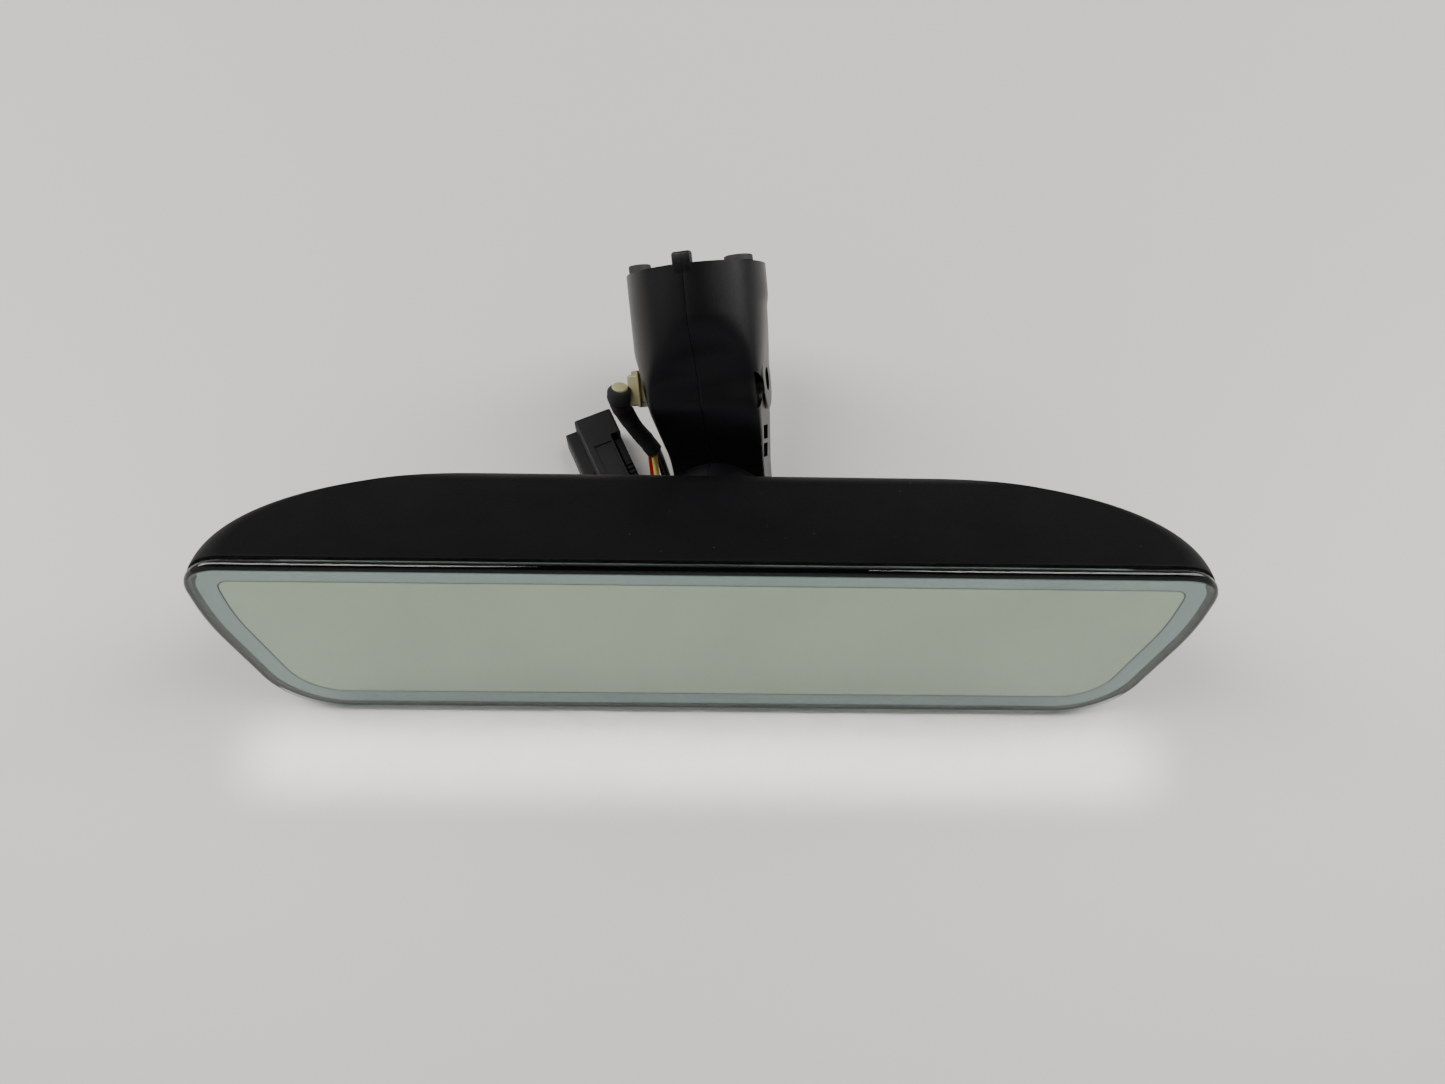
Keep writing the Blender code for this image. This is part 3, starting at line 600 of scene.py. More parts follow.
def make_wrap(name, colour):
    """Woven cloth tape, wound in overlapping turns, with a worn nap, and painted shade darkening the edge of
    each lap.
    """
    material, tree, shader, _ = new_material(name, colour)
    uv = put(tree, "ShaderNodeUVMap", uv_map="wrap").outputs["UV"]
    wrap = use_group(tree, "woven_wrap", {"UV": uv})
    # Tone follows the thread weave, which is the cloth's own pattern, and darkens at each lap's edge, which is
    # painted shade.
    tone = mix_colours(tree, wrap["Shade"], shade(colour, 0.4), shade(colour, 2.2))
    tree.links.new(tone, shader.inputs["Base Color"])
    tree.links.new(remap(tree, wrap["Shade"], 0.0, 1.0, 0.98, 0.8), shader.inputs["Roughness"])
    add_bump(tree, shader, wrap["Height"], 0.6, 0.0003)
    return material


def make_board(name, colour):
    """Green solder resist over copper tracks."""
    material, tree, shader, where = new_material(name, colour)
    tracks = put(tree, "ShaderNodeTexBrick", {"Vector": where, "Scale": 90.0, "Mortar Size": 0.03})
    tone = mix_colours(tree, tracks.outputs["Fac"], shade(colour, 1.0), shade(colour, 2.0))
    tree.links.new(tone, shader.inputs["Base Color"])
    tree.links.new(remap(tree, tracks.outputs["Fac"], 0.0, 1.0, 0.35, 0.5), shader.inputs["Roughness"])
    return material


def make_foam(name, colour):
    """Open foam with pores, painted darker inside each pore as shade."""
    material, tree, shader, where = new_material(name, colour)
    pores = put(tree, "ShaderNodeTexVoronoi", {"Vector": where, "Scale": 1500.0})
    # Darker towards each pore's centre, where the bump sinks a pit: painted shade in the pores.
    tone = mix_colours(tree, pores.outputs["Distance"], shade(colour, 0.4), shade(colour, 1.4))
    tree.links.new(tone, shader.inputs["Base Color"])
    shader.inputs["Roughness"].default_value = 0.95
    add_bump(tree, shader, pores.outputs["Distance"], 0.7, 0.0005)
    return material


def make_surface(name, colour):
    """The pale satin surface that the mirror stands on."""
    material, tree, shader, where = new_material(name, colour)
    cloud = noise_texture(tree, where, 3.0, 3.0)
    tone = mix_colours(tree, cloud.outputs["Fac"], shade(colour, 0.97), shade(colour, 1.03))
    tree.links.new(tone, shader.inputs["Base Color"])
    shader.inputs["Roughness"].default_value = 0.45
    return material


def finish_for(name):
    """The named finish, made the first time that it is asked for."""
    found = bpy.data.materials.get(name)
    if found:
        return found
    colours = bpy.context.scene.mirror_finishes
    makers = {
        "housing_grain": lambda: make_plastic(name, colours.housing, (0.5, 0.6), 2600, 0.35, 0.2, 0.06, 0.09),
        "arm_satin": lambda: make_plastic(name, colours.arm, (0.3, 0.4), 3200, 0.12, 0.2, 0.05, 0.26),
        "dome_satin": lambda: make_plastic(name, colours.arm, (0.3, 0.38), 3200, 0.06, 0.2, 0.1, 0.4),
        "front_glass_clear": lambda: make_glass(name, colours.glass),
        "ring_film": lambda: make_reflector(name, colours.ring, (0.2, 0.28), 0.0),
        "mirror_silver": lambda: make_reflector(name, colours.mirror, (0.02, 0.05), 0.05),
        "signal_nylon": lambda: make_nylon(name, colours.nylon),
        "woven_tape": lambda: make_wrap(name, colours.tape),
        "plug_plastic": lambda: make_plastic(name, colours.plug, (0.42, 0.55), 2600, 0.2, 0.3, 0.25, 0.25),
        "plug_inside": lambda: make_plastic(name, (0.003, 0.003, 0.003), (0.5, 0.6), 2600, 0.1, 0.2, 0.0, 0.2),
        "red_insulation": lambda: make_plastic(name, colours.red, (0.35, 0.45), 1500, 0.05, 0.12, 0.0),
        "yellow_insulation": lambda: make_plastic(name, colours.yellow, (0.35, 0.45), 1500, 0.05, 0.12, 0.0),
        "black_insulation": lambda: make_plastic(name, colours.black, (0.32, 0.42), 1500, 0.05, 0.2, 0.0),
        "zinc_plate": lambda: make_metal(name, (0.55, 0.56, 0.58)),
        "sprung_brass": lambda: make_metal(name, (0.7, 0.48, 0.26), (0.3, 0.45)),
        "cup_acetal": lambda: make_plastic(name, (0.72, 0.71, 0.67), (0.3, 0.4), 1800, 0.05, 0.08, 0.0),
        "smoked_clear": lambda: make_plastic(name, (0.03, 0.03, 0.034), (0.05, 0.12), 1500, 0.01, 0.2, 0.0),
        "inner_moulding": lambda: make_plastic(name, (0.035, 0.035, 0.037), (0.45, 0.6), 2000, 0.2, 0.2, 0.1),
        "pad_rubber": lambda: make_plastic(name, (0.012, 0.012, 0.012), (0.6, 0.75), 2400, 0.2, 0.2, 0.3),
        "board_resist": lambda: make_board(name, (0.015, 0.12, 0.05)),
        "chip_epoxy": lambda: make_plastic(name, (0.018, 0.018, 0.018), (0.4, 0.5), 3000, 0.1, 0.1, 0.0),
        "foam_open": lambda: make_foam(name, (0.1, 0.1, 0.11)),
        "pale_surface": lambda: make_surface(name, colours.floor),
    }
    return makers[name]()


# Head outlines


def head_outline(half_width, bottom, top, inset=0.0):
    """The head's outline as (x, z) points, counter-clockwise, moved in by the inset."""
    scale = (top - bottom) / GLASS_HEIGHT
    right = [
        (half_width - 10.5 * scale, bottom, 22 * scale, 28),
        (half_width, top - 23.5 * scale, 70 * scale, 16),
        (half_width + 0.3, top, 11 * scale, 24),
    ]
    corners = right + [(-x, z, radius, steps) for x, z, radius, steps in reversed(right)]
    points = []
    for index, (x, z, radius, steps) in enumerate(corners):
        here = Vector((x, z))
        before = (here - Vector(corners[index - 1][:2])).normalized()
        after = (Vector(corners[(index + 1) % len(corners)][:2]) - here).normalized()
        normal_in = Vector((-before.y, before.x))
        normal_out = Vector((-after.y, after.x))
        bisector = (normal_in + normal_out) / (1 + normal_in.dot(normal_out))
        fillet = max(radius - inset, 1.0)
        centre = here + bisector * (inset + fillet)
        turn = before.angle_signed(after)
        for step in range(steps + 1):
            arm = -normal_in * fillet
            arm.rotate(Matrix.Rotation(-turn * step / steps, 2))
            points.append(centre + arm)
    return points


def glass_ring(y, inset, sizes):
    outline = head_outline(sizes.glass_width / MM / 2, 0.0, GLASS_HEIGHT, inset)
    return [(point.x, y, point.y) for point in outline]


def housing_ring(y, sizes, inset=0.0, shift=0.0):
    depth = (y - HOUSING_FRONT) / (HOUSING_BACK - HOUSING_FRONT + 0.2)
    half_width = sizes.glass_width / MM / 2 * (1 - depth**2.2) ** 0.286
    top = HOUSING_TOP - ROOF_SLOPE * (min(y, BROW_START) - HOUSING_FRONT)
    if y > BROW_START:
        top -= BROW_RADIUS - math.sqrt(BROW_RADIUS**2 - (y - BROW_START) ** 2)
    bottom = y * math.tan(GLASS_LEAN) - GLASS_CLEARANCE / math.cos(GLASS_LEAN)
    if y > HEEL_START:
        bottom += HEEL_RADIUS - math.sqrt(HEEL_RADIUS**2 - (y - HEEL_START) ** 2)
    outline = head_outline(half_width, bottom, top, inset)
    return [(point.x, y - shift, point.y) for point in outline]


class MIRROR_OT_stage(bpy.types.Operator):
    """Pale surface, two soft panels, a strip of glow and the camera"""

    bl_idname = "mirror.stage"
    bl_label = "Stage"

    def execute(self, context):
        stage = context.scene.mirror_stage
        make_camera(context, stage)
        make_floor()
        make_panel_light("panel_left", (-0.95, 0.3, 1.15), (0.6, 1.6), stage.panel_power)
        make_panel_light("panel_right", (0.95, 0.3, 1.15), (0.6, 1.6), stage.panel_power)
        over, under = (0, GLOW_Y, 0.35), (0, GLOW_Y, 0)
        glow = make_panel_light("glow", over, (0.25, 0.012), stage.glow_power, under)
        glow.data.spread = math.radians(5)
        make_room(context.scene, stage.room)
        return {"FINISHED"}


GLOW_Y = -0.0745
CAMERA_PLACE = (-0.0015, -0.13526, 0.30153)
CAMERA_VIEW = (0.0205, 0.38558, -0.92241)
CAMERA_UP = (-0.0114, 0.92268, 0.38541)
SENSOR_WIDTH = 36.0


def make_camera(context, stage):
    camera = bpy.data.cameras.new("camera")
    camera.lens = stage.lens
    camera.sensor_width = SENSOR_WIDTH
    camera.sensor_fit = "HORIZONTAL"
    camera.clip_start = 0.01
    holder = bpy.data.objects.new("camera", camera)
    context.scene.collection.objects.link(holder)
    view = Vector(CAMERA_VIEW).normalized()
    right = view.cross(Vector(CAMERA_UP)).normalized()
    turn = Matrix((right, right.cross(view), -view)).transposed().to_4x4()
    holder.matrix_world = Matrix.Translation(CAMERA_PLACE) @ turn
    context.scene.camera = holder


def make_floor():
    deselect()
    bpy.ops.mesh.primitive_plane_add(size=6)
    floor = take_new("floor")
    floor.data.materials.append(finish_for("pale_surface"))


def make_panel_light(name, place, size, power, target=(0, 0, 0.03)):
    """A rectangular soft light turned towards its target."""
    deselect()
    run = Vector(target) - Vector(place)
    bpy.ops.object.light_add(type="AREA", location=place, rotation=run.to_track_quat("-Z", "Y").to_euler())
    panel = bpy.context.object
    panel.name = name
    panel.visible_camera = False
    panel.data.shape = "RECTANGLE"
    panel.data.size, panel.data.size_y = size
    panel.data.energy = power
    panel.data.color = (1.0, 0.985, 0.955)
    return panel


def make_room(scene, strength):
    """Light from all round: pale at the level of the walls, dim overhead."""
    scene.world = bpy.data.worlds.new("room")
    scene.world.use_nodes = True
    tree = scene.world.node_tree
    background = tree.nodes["Background"]
    where = put(tree, "ShaderNodeTexCoord").outputs["Generated"]
    height = put(tree, "ShaderNodeSeparateXYZ", {"Vector": where}).outputs["Z"]
    level = remap(tree, height, 0.45, 0.85, 1.0, 0.12)
    colour = mix_colours(tree, level, (0.0, 0.0, 0.0, 1), (0.95, 0.97, 1.0, 1))
    tree.links.new(colour, background.inputs["Color"])
    background.inputs["Strength"].default_value = strength


class MIRROR_OT_loom(bpy.types.Operator):
    """Four loose wires, and the woven wrap that they come out of"""

    bl_idname = "mirror.loom"
    bl_label = "Loom"

    def execute(self, context):
        sizes = context.scene.mirror_sizes
        wrap = make_wrapped_bundle(sizes.tape_diameter / MM / 2)
        settle(wrap, STAND, "arm", finish_for("woven_tape"), ["taped_loom"], smooth=60)
        colours = {"red": "red", "yellow": "yellow", "black_1": "black", "black_2": "black"}
        for name, route in WIRE_ROUTES.items():
            wire = make_wire(f"loom_wire_{name}", route, sizes.wire_diameter / 2)
            wire.data.materials.append(finish_for(f"{colours[name]}_insulation"))
            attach(wire, "arm")
            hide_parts(f"wire_{name}")
        return {"FINISHED"}


def make_wire(name, route, radius):
    """A wire as a curve along its route, which is in the stand frame in millimetres."""
    points = [STAND @ point for point in smooth_route(route, 0.7)]
    curve = bpy.data.curves.new(name, "CURVE")
    curve.dimensions = "3D"
    curve.bevel_depth = radius
    curve.bevel_resolution = 6
    curve.use_fill_caps = True
    spline = curve.splines.new("POLY")
    spline.points.add(len(points) - 1)
    for point, place in zip(spline.points, points):
        point.co = (*place, 1)
    spline.use_smooth = True
    wire = bpy.data.objects.new(name, curve)
    bpy.context.scene.collection.objects.link(wire)
    return wire


def make_wrapped_bundle(radius):
    """The taped bundle: overlapping turns, two folds at its top, and narrower towards the wires."""
    route = smooth_route(TAPE_ROUTE, 0.25)
    around = 40
    bm = bmesh.new()
    uv_layer = bm.loops.layers.uv.new("wrap")
    side = Vector((1, 0.2, 0))
    rows = []
    for index, centre in enumerate(route):
        along = index / (len(route) - 1)
        run = (route[min(index + 1, len(route) - 1)] - route[max(index - 1, 0)]).normalized()
        side = (side - run * side.dot(run)).normalized()
        over = run.cross(side)
        row = []
        for step in range(around):
            turn = 2 * math.pi * step / around
            lap = (along * 5 + step / around) % 1
            size = radius * (1.22 - 0.28 * min(1, along * 1.6)) * (1 + 0.05 * (1 - min(lap / 0.15, 1)))
            size *= 1 + 0.1 * math.cos(2 * turn) * max(0, 1 - along * 3)
            size *= 0.97 + 0.06 * noise.noise(Vector((math.cos(turn) * 1.5, math.sin(turn) * 1.5, along * 9)))
            size *= math.sqrt(max(0.0, 1 - max(0, 1 - along * 16) ** 2)) * 0.35 + 0.65
            row.append(bm.verts.new(centre + (side * math.cos(turn) + over * math.sin(turn)) * size))
        rows.append(row)
    for index, (near, far) in enumerate(zip(rows, rows[1:])):
        for step in range(around):
            after = (step + 1) % around
            face = bm.faces.new((near[step], near[after], far[after], far[step]))
            places = ((step, index), (step + 1, index), (step + 1, index + 1), (step, index + 1))
            for loop, (u, v) in zip(face.loops, places):
                loop[uv_layer].uv = (u / around, v / (len(rows) - 1))
    bm.faces.new(rows[0])
    bm.faces.new(rows[-1])
    bmesh.ops.recalc_face_normals(bm, faces=bm.faces)
    mesh = bpy.data.meshes.new("loom_wrap")
    bm.to_mesh(mesh)
    bm.free()
    piece = bpy.data.objects.new("loom_wrap", mesh)
    bpy.context.scene.collection.objects.link(piece)
    return piece


class MIRROR_OT_connectors(bpy.types.Operator):
    """Harness connector with its lock, and the pale signal plug in the arm"""

    bl_idname = "mirror.connectors"
    bl_label = "Connectors"

    def execute(self, context):
        plastic = finish_for("plug_plastic")
        block = make_connector_block()
        settle(block, PLUG, "arm", plastic, ["loom_plug"])
        apply_modifier(block, "WEIGHTED_NORMAL", weight=90, keep_sharp=True)
        lock = make_connector_lock()
        settle(lock, PLUG, "arm", finish_for("plug_inside"), ["plug_lock"])
        insert = make_terminal_block()
        settle(insert, PLUG, "arm", finish_for("plug_inside"), ["plug_insert"])
        signal = make_signal_plug()
        settle(signal, ARM, "arm", finish_for("signal_nylon"), ["natural_plug"])
        return {"FINISHED"}


def make_connector_block():
    """A long block with a stepped wing on its left, a lock channel and a mouth at its far end."""
    block = add_box("harness_connector", (-1.8, 0, 0.5), (9.8, 27, 15))
    round_edges(block, 0.7, 4)
    wing = add_box("wing", (-5.2, 8, 0.5), (-1.0, 27, 8.6))
    round_edges(wing, 0.5, 3)
    combine(block, wing, "UNION")
    rail = add_box("rail", (-5.6, 3.0, 3.0), (-1.5, 8.6, 3.9))
    combine(block, rail, "UNION")
    combine(block, add_box("panel", (0.6, -2, 14.6), (6.0, 16.4, 16)))
    combine(block, add_box("channel", (6.6, -1, 5.0), (12, 18.5, 16)))
    combine(block, add_box("mouth", (0.0, 16.5, 2.4), (5.8, 30, 13.2)))
    for index in range(2):
        x = 1.6 + index * 2.6
        combine(block, add_box("key", (x, 22, 12.5), (x + 1.0, 30, 14.2)))
    combine(block, add_box("wing_notch", (-3.4, 6, 4.2), (-0.9, 11.4, 9.5)))
    apply_modifier(block, "BEVEL", width=0.12, segments=2, limit_method="ANGLE", angle_limit=math.radians(50))
    return block


def make_connector_lock():
    lock = add_box("connector_lock", (7.2, 0.5, 5.4), (9.6, 17.5, 12.6))
    round_edges(lock, 0.4, 3)
    for index in range(4):
        y = 3.0 + index * 1.5
        combine(lock, add_box("grip", (6.5, y, 12.1), (10.5, y + 0.7, 13.5)))
    return lock


def make_terminal_block():
    block = add_box("terminal_block", (0.4, 16.9, 2.8), (5.4, 20.0, 12.8))
    for column in range(2):
        for row in range(4):
            x, z = 0.9 + column * 2.3, 3.5 + row * 2.35
            combine(block, add_box("pocket", (x, 18.0, z), (x + 1.7, 21, z + 1.6)))
    return block


def make_signal_plug():
    """Nose in the arm, ribbed body outside the port, latch tab on top and a round hood."""
    plug = add_box("signal_plug", (-21.8, -5.0, PORT_AT - 4.4), (-18.2, 5.0, PORT_AT + 4.4))
    round_edges(plug, 0.8, 4)
    flange = add_box("flange", (-19.0, -5.4, PORT_AT - 4.9), (-18.3, 5.4, PORT_AT + 4.9))
    round_edges(flange, 0.2, 2)
    combine(plug, flange, "UNION")
    combine(plug, add_box("nose", (-19, -3.6, PORT_AT - 3.4), (-11, 3.6, PORT_AT + 3.4)), "UNION")
    tab = add_box("tab", (-21.2, -1.8, PORT_AT + 4), (-19.2, 1.8, PORT_AT + 5.6))
    round_edges(tab, 0.3, 2)
    combine(plug, tab, "UNION")
    to_arm = ARM.inverted() @ STAND
    end = Vector(TAPE_ROUTE[0])
    away = (end - Vector(TAPE_ROUTE[1])).normalized()
    hood = add_rod("hood", to_arm @ (end - away * 1.5), to_arm @ (end + away * 0.5), 2.3)
    round_edges(hood, 0.4, 3)
    combine(plug, hood, "UNION")
    for index in range(3):
        y = -3.2 + index * 2.4
        combine(plug, add_box("rib_gap", (-22.5, y, PORT_AT - 3.4), (-21.5, y + 1.1, PORT_AT + 3.0)))
    return plug


class MIRROR_OT_glass(bpy.types.Operator):
    """Front glass with its rounded edge, the metal ring and the mirror behind it"""

    bl_idname = "mirror.glass"
    bl_label = "Glass"

    def execute(self, context):
        sizes = context.scene.mirror_sizes
        half = sizes.glass_thickness / MM / 2
        edge = sizes.glass_edge / MM
        steps = 18
        angles = [math.pi * (step / steps - 0.5) for step in range(steps + 1)]
        rings = [glass_ring(half * (1 + math.sin(a)), edge * (1 - math.cos(a)), sizes) for a in angles]
        glass = loft("glass_plate", rings)
        settle(glass, HEAD, "head", finish_for("front_glass_clear"), ["front_glass"], smooth=40)
        ring = make_ring_film(sizes)
        settle(ring, HEAD, "head", finish_for("ring_film"), ["perimeter_ring"], smooth=20)
        mirror = make_mirror_layer(sizes)
        settle(mirror, HEAD, "head", finish_for("mirror_silver"), ["mirror_glass"], smooth=20)
        return {"FINISHED"}


def make_ring_film(sizes):
    front = sizes.glass_thickness / MM + 0.2
    outer, inner = sizes.ring_outer / MM, sizes.ring_inner / MM
    rings = [
        glass_ring(front, outer, sizes),
        glass_ring(front + 0.4, outer, sizes),
        glass_ring(front + 0.4, inner, sizes),
        glass_ring(front, inner, sizes),
    ]
    return loft("ring_film", rings, closed=True)


def make_mirror_layer(sizes):
    front = sizes.glass_thickness / MM + 0.2
    inset = sizes.ring_inner / MM + 0.3
    rings = [
        glass_ring(front, inset + 0.15, sizes),
        glass_ring(front + 0.15, inset, sizes),
        glass_ring(5.4, inset, sizes),
    ]
    return loft("mirror_layer", rings)


class MIRROR_OT_housing(bpy.types.Operator):
    """Rear housing, its sensor window and the ball socket's dome"""

    bl_idname = "mirror.housing"
    bl_label = "Housing"

    def execute(self, context):
        sizes = context.scene.mirror_sizes
        shell = make_housing_shell(sizes)
        settle(shell, HEAD, "head", finish_for("housing_grain"), ["rear_housing"], smooth=40)
        dome = make_socket_dome()
        settle(dome, HEAD, "head", finish_for("dome_satin"), ["ball_socket"], smooth=40)
        window = make_sensor_window()
        settle(window, HEAD, "head", finish_for("smoked_clear"), ["sensor_window"])
        return {"FINISHED"}


def make_housing_shell(sizes):
    steps = 44
    quarter = [math.sin(math.pi / 2 * step / steps) for step in range(steps + 1)]
    depths = [HOUSING_FRONT + (HOUSING_BACK - HOUSING_FRONT) * part for part in quarter]
    lip = [(HOUSING_FRONT, 0.3), (HOUSING_FRONT + 0.09, 0.09), (HOUSING_FRONT + 0.3, 0.0)]
    outer = [housing_ring(y, sizes, inset) for y, inset in lip] + [housing_ring(y, sizes) for y in depths[1:]]
    inner = []
    for index, y in enumerate(depths):
        along = index / steps
        inner.append(housing_ring(y, sizes, HOUSING_WALL * (1 - 0.4 * along), 2 * along**2))
    shell = loft("housing_shell", outer + inner[::-1], closed=True)
    open_with(shell, "EDGE", lambda edge: not edge.is_manifold)
    bpy.ops.mesh.edge_face_add()
    close_edit()
    return finish_housing_shell(shell)


def finish_housing_shell(shell):
    combine(shell, add_rod("dome_hole", (BALL.x, 28, BALL.z), (BALL.x, 44, BALL.z), DOME_RADIUS - 1.7, 96))
    combine(shell, add_rod("window_hole", (SENSOR.x, 30, SENSOR.z), (SENSOR.x, 40, SENSOR.z), 3.8))
    return shell


def make_socket_dome():
    """A thick ball with a mouth for the shank, on a flange with rounded corners."""
    dome = add_ball("socket_dome", (0, 0, 0), DOME_RADIUS)
    open_with(dome, "FACE", lambda face: True)
    height = DOME_RADIUS * math.cos(math.radians(DOME_MOUTH))
    bpy.ops.mesh.bisect(plane_co=(0, 0, height), plane_no=(0, 0, 1), clear_outer=True, use_fill=True)
    close_edit()
    combine(dome, add_ball("dome_hollow", (0, 0, 0), DOME_INNER))
    low, high = DOME_INNER * math.cos(math.radians(SOCKET_MOUTH)), height
    inner = math.sin(math.radians(SOCKET_MOUTH)) * DOME_INNER
    outer = math.sin(math.radians(DOME_MOUTH)) * DOME_RADIUS
    slope = (outer - inner) / (high - low)
    combine(dome, add_cone("dome_mouth", low - 3, inner - 3 * slope, high + 3, outer + 3 * slope))
    dome.data.transform(HEAD.inverted() @ ARM)
    flange = add_box("flange", (BALL.x - 22.5, 29.5, BALL.z - 15.2), (BALL.x + 22.5, 32.0, BALL.z + 15.2))
    round_edges(flange, 3.0, 6, lambda edge: abs((edge.verts[1].co - edge.verts[0].co).y) > 1)
    combine(flange, add_ball("flange_hollow", BALL, DOME_RADIUS - 1))
    combine(dome, flange, "UNION")
    return dome


def make_sensor_window():
    """A shallow lens in the housing's back."""
    window = add_rod("window_lens", (SENSOR.x, 34.3, SENSOR.z), (SENSOR.x, HOUSING_BACK, SENSOR.z), 3.5)
    open_with(window, "FACE", lambda face: face.normal.y > 0.9)
    bpy.ops.mesh.inset(thickness=0.5)
    bpy.ops.transform.translate(value=(0, -0.25, 0))
    close_edit()
    return window


class MIRROR_OT_arm(bpy.types.Operator):
    """Both halves of the arm and the screw that holds them"""

    bl_idname = "mirror.arm"
    bl_label = "Arm"

    def execute(self, context):
        gap = context.scene.mirror_sizes.seam_gap / MM
        right = make_arm_right(gap)
        settle(right, ARM, "arm", finish_for("arm_satin"), ["arm_shell_right"], smooth=32)
        left = make_arm_left(gap)
        settle(left, ARM, "arm", finish_for("arm_satin"), ["arm_shell_left"], smooth=32)
        screw = make_arm_screw()
        settle(screw, ARM, "arm", finish_for("zinc_plate"), ["arm_screw"])
        return {"FINISHED"}


def arm_radius(angle, at, hand):
    """Distance from the arm's axis to its surface. Angle 0 is the side, -90 degrees is the front."""
    turn = math.radians(smoothed(FRONT_TURN, at))
    side = abs(math.cos(angle)) / smoothed(RIGHT_CLIP if hand > 0 else LEFT_CLIP, at)
    front = max(0.0, hand * math.cos(angle) * math.sin(turn) - math.sin(angle) * math.cos(turn))
    front /= smoothed(FRONT_CLIP, at, 1.2)
    back = max(0.0, math.sin(angle)) / smoothed(BACK_CLIP, at)
    p = CORNER_SHARPNESS
    return (side**p + front**p + back**p + (1 / FOOT_RADIUS) ** p) ** (-1 / p)


def half_section(at, hand, wall, gap):
    """One half of the arm's C-shaped section: out along the surface, back along the bore."""
    outside, inside = [], []
    steps = 90
    for step in range(steps + 1):
        angle = math.pi * (step / steps - 0.5)
        radius = arm_radius(angle, at, hand)
        x = max(radius * math.cos(angle), gap)
        dip = 0.1 * max(0.0, 1 - (x - gap) / 0.25)
        outside.append((hand * x, (radius - dip) * math.sin(angle), at))
        radius = radius - wall if wall else SHANK_BORE
        inside.append((hand * max(radius * math.cos(angle), gap), radius * math.sin(angle), at))
    return outside + inside[::-1]


def make_arm_half(name, hand, gap):
    solid = [ARM_START + (NOSE_TOP - ARM_START) * step / 12 for step in range(13)]
    hollow = [NOSE_TOP + 0.02 + (ARM_LENGTH - 0.5 - NOSE_TOP) * step / 42 for step in range(43)]
    rings = [half_section(at, hand, 0, gap) for at in solid]
    rings += [half_section(at, hand, ARM_WALL, gap) for at in hollow]
    rings.append(half_section(ARM_LENGTH, hand, ARM_WALL + 0.4, gap))
    half = loft(name, rings)
    combine(half, make_skirt(hand, gap), "UNION")
    combine(half, add_ball("nose_cut", (0, 0, 0), SKIRT_BORE))
    tab = add_box("tab", (gap, -19.4, ARM_LENGTH - 2.5), (2.7, -16.8, ARM_LENGTH + 3.2))
    if hand < 0:
        tab.data.transform(Matrix.Diagonal((-1, 1, 1, 1)))
        open_with(tab, "FACE", lambda face: True)
        bpy.ops.mesh.normals_make_consistent(inside=False)
        close_edit()
    round_edges(tab, 0.8, 4, lambda edge: abs(edge_middle(edge).x) > 1)
    combine(half, tab, "UNION")
    return half


def make_skirt(hand, gap):
    """The ball-shaped front of the arm's lower end, which covers the socket's mouth."""
    skirt = add_ball("skirt", (0, 0, 0), SKIRT_RADIUS, 128, 96)
    sides = (((0, 0, 11), (0, 0, -1)), ((0, -1, 0), (0, 1, 0)), ((hand * gap, 0, 0), (-hand, 0, 0)))
    for place, away in sides:
        open_with(skirt, "FACE", lambda face: True)
        bpy.ops.mesh.bisect(plane_co=place, plane_no=away, clear_outer=True, use_fill=True)
        close_edit()
    return skirt


def make_arm_right(gap):
    half = make_arm_half("arm_half_right", 1, gap)
    combine(half, add_rod("boss", (1.0, 0, BOSS_AT), (BOSS_END, 0, BOSS_AT), 6.2, 64), "UNION")
    rim = add_rod("boss_rim", (15.0, 0, BOSS_AT), (BOSS_END, 0, BOSS_AT), 8.3, 72)
    round_edges(rim, 0.5, 3, lambda edge: edge_middle(edge).x > BOSS_END - 0.2 and is_corner(edge))
    combine(half, rim, "UNION")
    combine(half, add_rod("boss_hole", (8.0, 0, BOSS_AT), (22, 0, BOSS_AT), 3.25))
    combine(half, add_rod("boss_bore", (-1, 0, BOSS_AT), (12, 0, BOSS_AT), 1.8, 32))
    combine(half, add_rod("scoop", (15.2, -12.2, BOSS_AT - 3), (24, -12.2, BOSS_AT - 3), 5.0, 56))
    for at in (23.4, 18.4):
        notch = add_box("notch", (13.2, -5.5, at - 1.9), (20, 2.5, at + 1.9))
        round_edges(notch, 0.3, 3)
        combine(half, notch)
    return half


def make_arm_left(gap):
    half = make_arm_half("arm_half_left", -1, gap)
    web = add_box("web", (-5.0, -13.0, BOSS_AT - 4), (-gap - 0.2, 13.4, BOSS_AT + 4))
    combine(half, web, "UNION")
    combine(half, add_rod("web_bore", (-7, 0, BOSS_AT), (1, 0, BOSS_AT), 1.8, 32))
    port = add_box("port", (-22, -5.8, PORT_AT - 5.6), (-11, 5.8, PORT_AT + 5.6))
    round_edges(port, 0.6, 3)
    combine(half, port)
    return half


def make_arm_screw():
    """A pan-head screw with a crossed recess, seen down the boss."""
    head = 8.3
    screw = add_rod("clamp_screw", (head - 12.8, 0, BOSS_AT), (head, 0, BOSS_AT), 1.5, 32)
    cap = add_rod("cap", (head - 0.01, 0, BOSS_AT), (head + 2.0, 0, BOSS_AT), 2.8, 40)
    round_edges(cap, 0.6, 4, lambda edge: edge_middle(edge).x > head + 1.9)
    combine(screw, cap, "UNION")
    combine(screw, add_box("recess_1", (head + 0.9, -1.6, BOSS_AT - 0.4), (head + 3, 1.6, BOSS_AT + 0.4)))
    combine(screw, add_box("recess_2", (head + 0.9, -0.4, BOSS_AT - 1.6), (head + 3, 0.4, BOSS_AT + 1.6)))
    return screw


